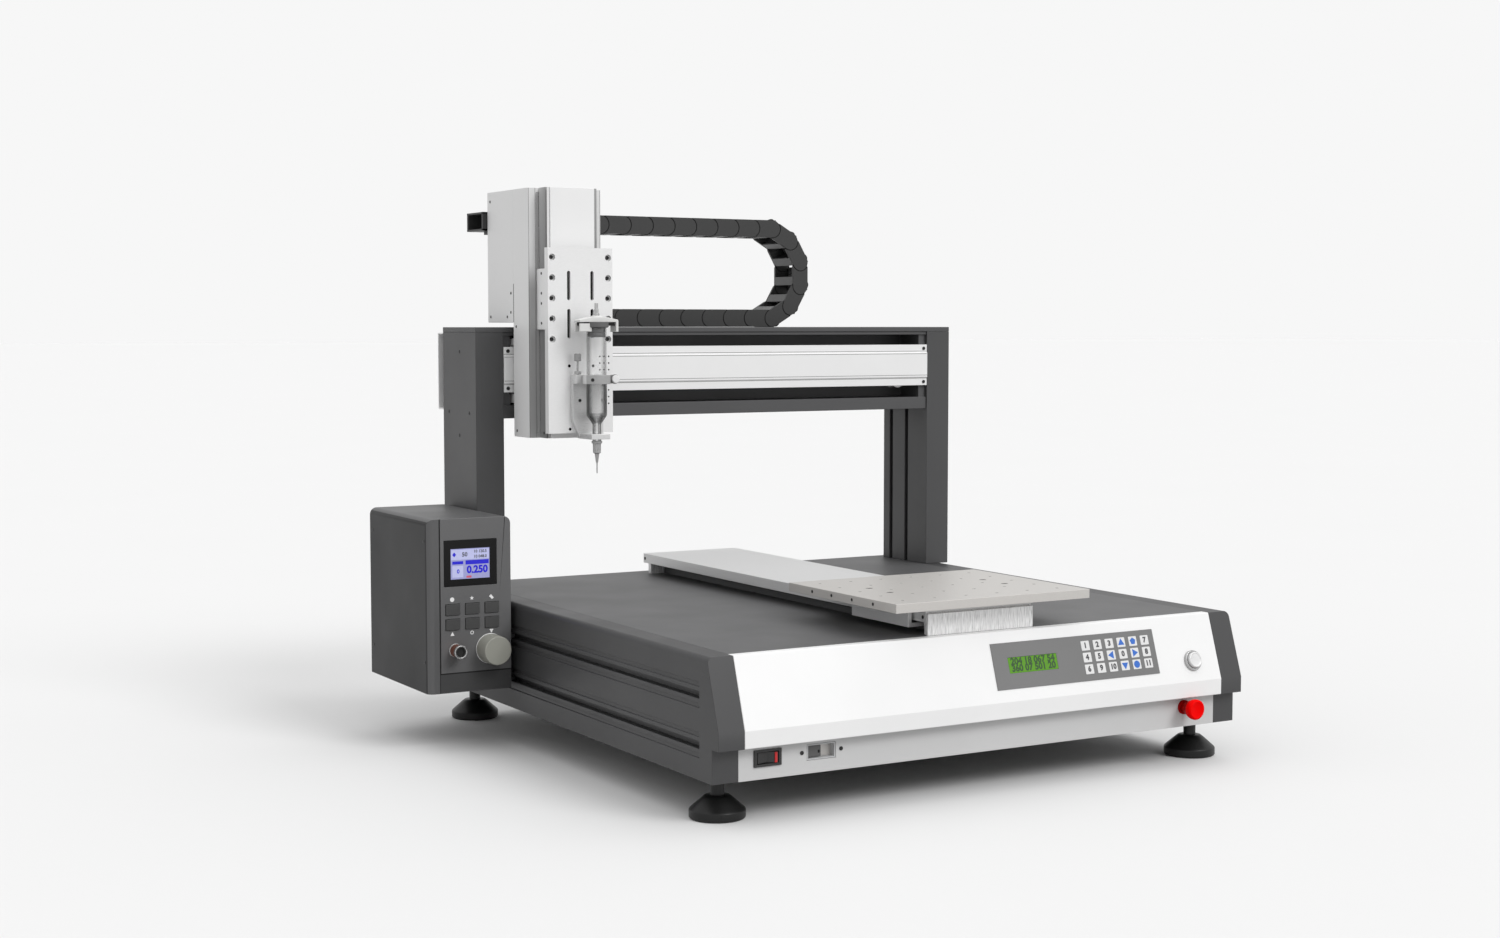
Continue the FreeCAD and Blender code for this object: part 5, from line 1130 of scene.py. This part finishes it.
stage = {
    "plateY": 142,
    "screwX": (-312.5, -234.5),
    "screwTop": 614.6,
    "screwPitch": 25.8,
    "counterbore": (4.2, 4.0),
    "screwY": 146.2,
    "thread": (1.9, 6),
    "threads": [(-289.6, 477.8), (-256.3, 477.5), (-289.0, 397.7), (-256.1, 515.9)],
    "pinhole": (1.05, 4),
    "pinholes": [(x, z) for x in (-246.8, -241.0, -234.2) for z in (489.5, 481.0, 472.5)]
                + [(-234.4, z) for z in (446.7, 438.1, 429.5)],
    "slotX": (-289.75, -257.25),
    "slotLow": (511.5, 559.5),
    "slotSize": (4.4, 39.2, 2.2),
    "armScrews": [(165.0, z) for z in (594.5, 569.5, 556.6, 531.7)],
    "holderScrews": [(-278.9, 434.2), (-247.1, 434.0)],
    "ringScrew": ((-277.6, 99.0, 460.8), (-0.65, -0.76, 0)),
}


def makeStage():
    dressed("z_carriage", toolMetal, 0.4)
    heads = [(x, stage["screwTop"] - stage["screwPitch"] * k) for x in stage["screwX"]
             for k in range(5)]
    plate = workCopy("tool_plate", toolMetal)
    # The threaded holes and pin holes are lined in near black: painted shade inside them. The
    # counterbores keep the plate's metal
    for spots, (radius, depth), finish in ((heads, stage["counterbore"], toolMetal),
                                           (stage["threads"], stage["thread"], seamAndShadeDark),
                                           (stage["pinholes"], stage["pinhole"], seamAndShadeDark)):
        plate = drilled(plate, frontSpots(stage["plateY"], spots), radius, depth, finish)
    standsFor(smoothed(plate, 30), "tool_plate")
    screws("plate_screws", "tool", frontSpots(stage["screwY"], heads), (2.5, 2.4, 1.2))
    wide, tall, corner = stage["slotSize"]
    # Painted shade: dark slabs just behind the slots, so that they read as the shade inside them
    shades = [mark(f"shade_{x}_{low}", roundedOutline(x - wide / 2, low, wide, tall, corner),
                   frontAt(0, 146.5, 0), seamAndShadeDark, 0, -1.0)
              for x in stage["slotX"] for low in stage["slotLow"]]
    rides(joined("slot_shades", shades), "tool")
    screws("arm_screws", "tool", bothSides(-317.0, -230.0, stage["armScrews"]), (1.8, 0.3, 0.8))
    screws("holder_screws", "tool", frontSpots(134, stage["holderScrews"]), (2.1, 0.7, 0.9))
    screws("ring_screw", "tool", [stage["ringScrew"]], (2.2, 0.8, 1.0))
    print("stage made")


makeStage()


# Syringe and its holder. Turned shapes are radius and height, outlines are X and Z

syringe = {
    "barrel": [(13.0, 526.0), (13.0, 416.8), (12.2, 414.6), (6.2, 406.0), (5.5, 404.6), (5.5, 384.0),
               (3.0, 384.0), (3.0, 406.5), (11.6, 418.4), (11.8, 420.0), (11.8, 526.0)],
    "needle": [(0, 342.7), (0.5, 342.7), (0.8, 344.0), (0.8, 355.2), (1.7, 358.0), (2.1, 361.5),
               (3.0, 367.6), (5.0, 368.6), (5.3, 380.3), (6.7, 380.7), (6.7, 383.7), (0, 383.7)],
    "fitting": [(1.2, 540.0), (4.0, 540.0), (4.0, 543.6), (2.8, 544.4), (2.8, 549.0), (2.3, 549.4),
                (2.3, 556.8), (1.2, 556.8)],
    "plug": [(0, 514.2), (10.6, 514.2), (11.3, 515.4), (11.3, 518.0), (10.4, 518.6), (10.4, 520.0),
             (11.3, 520.6), (11.3, 525.9), (14.6, 526.2), (15.4, 527.2), (15.4, 533.2), (0, 533.2)],
    "hub": [(0, 539.0), (7.4, 539.0), (7.0, 540.4), (5.0, 541.2), (0, 541.2)],
    "wing": [(-27, 533.0), (-27, 535.2), (-26, 536.2), (-9, 539.5), (9, 539.5), (26, 536.2),
             (27, 535.2), (27, 520.8), (23.4, 520.8), (23.4, 533.0)],
    "tab": (-26.6, 521.2, 16.6, 10.2),
    "shade": (-24.0, 528.5, 46.0, 4.4),
    "clampAt": (-241.6, 125.7, 461.25),
    "clampBody": [(0, 0), (4.6, 0), (4.6, 3.0), (3.4, 3.4), (3.4, 5.0), (5.3, 5.4), (5.3, 14.0),
                  (5.95, 14.2), (5.95, 17.0), (0, 17.0)],
    "clampFace": [(0, 17.0), (5.2, 17.0), (5.2, 19.2), (4.6, 19.9), (0, 19.9)],
    "thumb": [(0, 459.4), (1.6, 459.4), (1.6, 467.4), (4.4, 467.4), (4.4, 471.0), (1.3, 471.6),
              (1.3, 483.6), (3.9, 484.0), (4.2, 485.0), (4.2, 492.6), (3.6, 493.6), (0, 493.6)],
    "ribs": {"Ribs": 26, "Grip radius": 4.0 * mm, "Rib length": 8.6 * mm, "Rib width": 0.3 * mm,
             "Rib finish": knobSide},
    "ribsZ": 488.6,
}


def makeSyringe():
    x, y = place["toolX"], place["toolY"]
    axis = moved(x, y, 0)
    standsFor(lathe("barrel", syringe["barrel"], axis, barrelClear, 64, 0.2), "syringe_barrel")
    standsFor(lathe("needle", syringe["needle"], axis, hubGrey, 40, 0.15), "dispensing_needle")
    face = frontAt(x, y - 8.5, 0)
    tab = boxOutline(*syringe["tab"])
    # The adapter_shade slab is painted shade: a dark sheet under the top of the wing
    parts = [slab("adapter_wing", syringe["wing"], 0, face, adapterWhite, 0.7, -17),
             slab("adapter_tab", tab, -0.2, face, adapterWhite, 0.6, -3.2),
             slab("adapter_back_tab", tab, -13.6, face, adapterWhite, 0.6, -16.8),
             slab("adapter_shade", boxOutline(*syringe["shade"]), -1.6, face, seamAndShadeDark, 0.2, -15.4),
             lathe("adapter_plug", syringe["plug"], axis, plugGrey, 56, 0.3),
             lathe("adapter_hub", syringe["hub"], axis, adapterWhite, 48, 0.3),
             lathe("adapter_stub", syringe["fitting"], axis, brightSteel, 40, 0.2)]
    standsFor(joined("adapter", parts), "syringe_adapter")
    holder = dressed("syringe_bracket", holderMetal, 0.5)
    repaint(holder, ringTone, lambda part: part.normal.y < -0.3 and part.center.y < 125 * mm
            and part.center.z > 440 * mm)
    # Painted light: the holder's upward faces take the lighter aluminium
    repaint(holder, toolMetal, lambda part: part.normal.z > 0.7)
    clampAt = frontAt(*syringe["clampAt"])
    clamp = [lathe("clamp_body", syringe["clampBody"], clampAt, knobSide, 40, 0.2),
             lathe("clamp_face", syringe["clampFace"], clampAt, buttonWhite, 40, 0.4)]
    standsFor(joined("clamp", clamp), "clamp_knob")
    low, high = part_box("thumb_screw")
    thumbAxis = Matrix.Translation(((low.x + high.x) / 2, (low.y + high.y) / 2, 0))
    standsFor(lathe("thumb", syringe["thumb"], thumbAxis, hubGrey, 40, 0.2), "thumb_screw")
    ribs = grow("thumb_ribs", ribTree, bpy.data.meshes.new("thumb_seed"), syringe["ribs"])
    ribs.data.transform(thumbAxis @ moved(0, 0, syringe["ribsZ"]))
    rides(ribs, "thumb")
    print("syringe made")


makeSyringe()


# Controller. Boxes and marks are measured from the lower left corner of its front,
# tiles and texts of the screen as shares of the screen

controller = {
    "bezel": (21.4, 132.2, 70.3, 57.3),
    "screen": (30.3, 141.2, 51.5, 37.6),
    "tiles": [("banner", screenBlue, 0.58, (0.38, 0.47, 0.60, 0.14)),
              ("tile", screenBlue, 0.58, (0.04, 0.49, 0.28, 0.10)),
              ("panel_left", screenPale, 0.54, (0.04, 0.06, 0.28, 0.38)),
              ("red_mark", screenRed, 0.58, (0.40, 0.03, 0.13, 0.07))],
    "texts": [("0.250", 12.5, 0.68, 0.29, screenBlue, 0.045), ("50", 7.2, 0.36, 0.80, inkBlack, 0.03),
              ("0", 7.0, 0.19, 0.25, screenBlue, 0.03), ("10 120.5", 5.0, 0.76, 0.89, inkBlack, 0.03),
              ("10 048.0", 5.0, 0.76, 0.72, inkBlack, 0.03)],
    "keySize": (18.5, 13.5),
    "keyCorner": 1.2,
    "dialAt": (-401.5, 140, 127),
    "dial": [(0, -4), (3.0, -4), (3.0, 0.5), (18.2, 0.5), (18.6, 1.2), (18.1, 24.4), (17.2, 26.0),
             (0, 26.0)],
    "dialRimHighlight": [(17.6, 0), (18.9, 0), (18.9, 0.4), (18.6, 0.6), (17.6, 0.6)],
    "socketAt": (-448, 140, 128),
    "socket": [(0, -4), (6.5, -4), (6.5, 0), (8.5, 0), (8.5, 1.6), (7.6, 2.2), (7.6, 15.6),
               (8.5, 16.0), (8.5, 19.4), (8.0, 20.0), (7.0, 20.0), (6.3, 19.2), (6.3, 8.0), (0, 8.0)],
    "sleeve": [(7.65, 2.4), (8.1, 2.6), (8.1, 15.4), (7.65, 15.6)],
    "insert": [(0, 8.0), (6.1, 8.0), (6.1, 17.5), (5.0, 17.6), (5.0, 15.6), (0, 15.6)],
    "upMark": [(29.2, 71.2), (34.6, 71.2), (31.9, 76.0)],
    "ringMark": (57.9, 73.6, 1.5, 2.4),
    "downMark": [(83.9, 71.4), (86.6, 76.2), (81.2, 76.2)],
    "dotMark": (31.9, 116.2, 2.8),
    "starMark": (58, 116.6, 2.9, 1.2),
    "penMark": [(81.0, 117.6), (83.6, 119.8), (87.4, 115.6), (85.0, 113.6)],
    "seams": [("seam_upright", (15.1, 0.5, 1.1, 215.5), seamAndShadeDark, 0.06, -2.0),
              ("seam_across", (16.0, 23.6, 94.0, 1.5), seamAndShadeDark, 0.06, -2.0),
              ("low_front", (16.4, 0.9, 93.4, 22.6), lowCoat, 0.04, -1.0)],
    "screws": [(152.0, 264.0), (333.0, 263.1), (152.0, 114.0), (333.0, 112.8)],
}


def makeScreen():
    left, low, wide, tall = controller["screen"]
    parts = [slab("bezel", boxOutline(*controller["bezel"], -0.3), 0.4, boxFace, blackGlass, 0.15,
                  -1.5),
             mark("lilac", boxOutline(left, low, wide, tall), boxFace, screenLilac, 0.5, 0.3),
             mark("pale", boxOutline(left + 0.6, low + tall * 0.64, wide - 1.2, tall * 0.33), boxFace,
                  screenPale, 0.54, 0.45)]
    for name, finish, depth, (x, y, across, up) in controller["tiles"]:
        outline = boxOutline(left + wide * x, low + tall * y, wide * across, tall * up)
        parts.append(mark(name, outline, boxFace, finish, depth, 0.45))
    diamond = [(left + 2.0, low + tall * 0.81), (left + 4.6, low + tall * 0.73),
               (left + 7.2, low + tall * 0.81), (left + 4.6, low + tall * 0.89)]
    parts.append(mark("diamond", diamond, boxFace, screenBlue, 0.58, 0.45))
    for text, size, x, y, ink, bold in controller["texts"]:
        parts.append(lettering(f"screen_{text}", text, size, left + wide * x, low + tall * y, boxFace,
                               ink, 0.6, bold))
    standsFor(joined("screen", parts), "controller_screen")


def ringMark(name, x, y, inner, outer):
    # A flat ring printed on the controller's front
    spots = circleOutline(x, y, inner) + circleOutline(x, y, outer)
    count = len(spots) // 2
    mesh = bpy.data.meshes.new(name)
    mesh.from_pydata([(x * mm, y * mm, 0.06 * mm) for x, y in spots], [],
                     [(k, k + count, (k + 1) % count + count, (k + 1) % count) for k in range(count)])
    mesh.transform(boxFace)
    return addPiece(name, mesh, inkWhite)


def makeController():
    case = dressed("controller_case", caseShadedCoat, 0.5)
    # Painted light: top faces, and front faces above the low front, take the lighter copy of the case
    # paint
    repaint(case, caseLitCoat, lambda face: face.normal.z > 0.6 or face.normal.y < -0.35
            and not (face.center.z < 99 * mm and face.center.x > -466 * mm))
    dressed("controller_front", panelCoat, 0.5)
    makeScreen()
    for number in range(1, 7):
        low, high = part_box(f"controller_key_{number}")
        middle = (low + high) / 2 / mm
        key = keyGrid(f"key_{number}", frontAt(middle.x, place["boxFront"] + 3, middle.z), keyDark,
                      controller["keySize"], controller["keyCorner"], 4.4, 0.35)
        standsFor(key, f"controller_key_{number}")
    dialAt, socketAt = frontAt(*controller["dialAt"]), frontAt(*controller["socketAt"])
    standsFor(lathe("dial", controller["dial"], dialAt, dialGrey, 72, 0.4), "controller_knob")
    # A thin bright ring at the dial's base: painted highlight on its rim
    rides(lathe("dial_rim", controller["dialRimHighlight"], dialAt, toolMetal, 72, 0), "base")
    parts = [lathe("socket", controller["socket"], socketAt, brightSteel, 56, 0.2),
             lathe("socket_sleeve", controller["sleeve"], socketAt, copperBarrel, 56, 0),
             lathe("socket_insert", controller["insert"], socketAt, blackPlastic, 48, 0.1)]
    standsFor(joined("air_socket", parts), "air_connector")
    x, y, outer, inner = controller["starMark"]
    star = [spot for pair in zip(circleOutline(x, y, outer, 5, 90), circleOutline(x, y, inner, 5, 126))
            for spot in pair]
    marks = [mark(f"mark_{k}", outline, boxFace, inkWhite) for k, outline in enumerate(
        (controller["upMark"], controller["downMark"], circleOutline(*controller["dotMark"]), star,
         controller["penMark"]))]
    marks.append(ringMark("mark_ring", *controller["ringMark"]))
    rides(joined("controller_marks", marks), "base")
    seams = [mark(name, boxOutline(*box), boxFace, finish, depth, start)
             for name, box, finish, depth, start in controller["seams"]]
    rides(joined("controller_seams", seams), "base")
    spots = [((place["boxLeft"], y, z), (-1, 0, 0)) for y, z in controller["screws"]]
    screws("case_screws", "base", spots, (2.1, 0.4, 0.8))
    print("controller made")


makeController()


# Floor, light and camera

studio = {
    "floorColour": 0.745,
    "floorBounce": 0.40,
    "floorReach": 60000,
    "sky": 0.82,
    "background": 0.93,
    "suns": [
        ("key light", (0.38, -1.0, 0.85), 1.3, 26),
        ("top light", (0.15, -0.15, 1.0), 0.6, 80),
    ],
    "cameraAt": (-1.4224, -2.269, 0.530),
    "turn": 30.085,
    "pitch": 3.94,
    "lens": 50.34,
}


def seenBy(tree, *rays):
    # 1 for rays of these kinds, and 0 for all others
    path = node(tree, "ShaderNodeLightPath")
    seen = path.outputs[f"Is {rays[0]} Ray"]
    for ray in rays[1:]:
        seen = maths(tree, "MAXIMUM", seen, path.outputs[f"Is {ray} Ray"])
    return seen


def makeStudio():
    # The floor is pale for the camera, gloss and glass. It throws less back on the object
    finish, tree, shader = startFinish("pale floor")
    pale = mixed(tree, noiseFor(tree, 2, 2), tone(studio["floorColour"], 0.99),
                 tone(studio["floorColour"]))
    fill(tree, shader, {
        "Base Color": mixed(tree, seenBy(tree, "Camera", "Transmission", "Glossy"),
                            tone(studio["floorBounce"]), pale),
        "Roughness": 0.8,
        "Specular IOR Level": 0.1,
    })
    reach = studio["floorReach"]
    floor = slab("floor", boxOutline(-reach, -reach, 2 * reach, 2 * reach), 0, moved(0, 0, -0.2),
                 finish, 0, -20)
    # The camera and glass see the pale background; the rest is lit by less
    world = bpy.data.worlds.new("studio")
    bpy.context.scene.world = world
    world.use_nodes = True
    tree = world.node_tree
    fill(tree, tree.nodes["Background"], {
        "Color": (1, 1, 1, 1),
        "Strength": spread(tree, seenBy(tree, "Camera", "Transmission"), studio["sky"],
                           studio["background"], 0, 1),
    })
    for name, aim, power, width in studio["suns"]:
        lamp = bpy.data.lights.new(name, "SUN")
        lamp.energy = power
        lamp.angle = math.radians(width)
        addPiece(name, lamp).rotation_euler = Vector(aim).to_track_quat("Z", "Y").to_euler()
    lens = bpy.data.cameras.new("camera")
    lens.lens = studio["lens"]
    lens.sensor_width = 36
    lens.clip_end = 200
    eye = addPiece("camera", lens)
    eye.location = studio["cameraAt"]
    eye.rotation_euler = (math.radians(90 - studio["pitch"]), 0, math.radians(-studio["turn"]))
    bpy.context.scene.camera = eye
    bpy.context.scene.view_settings.view_transform = "Standard"


makeStudio()
print("scene finished")
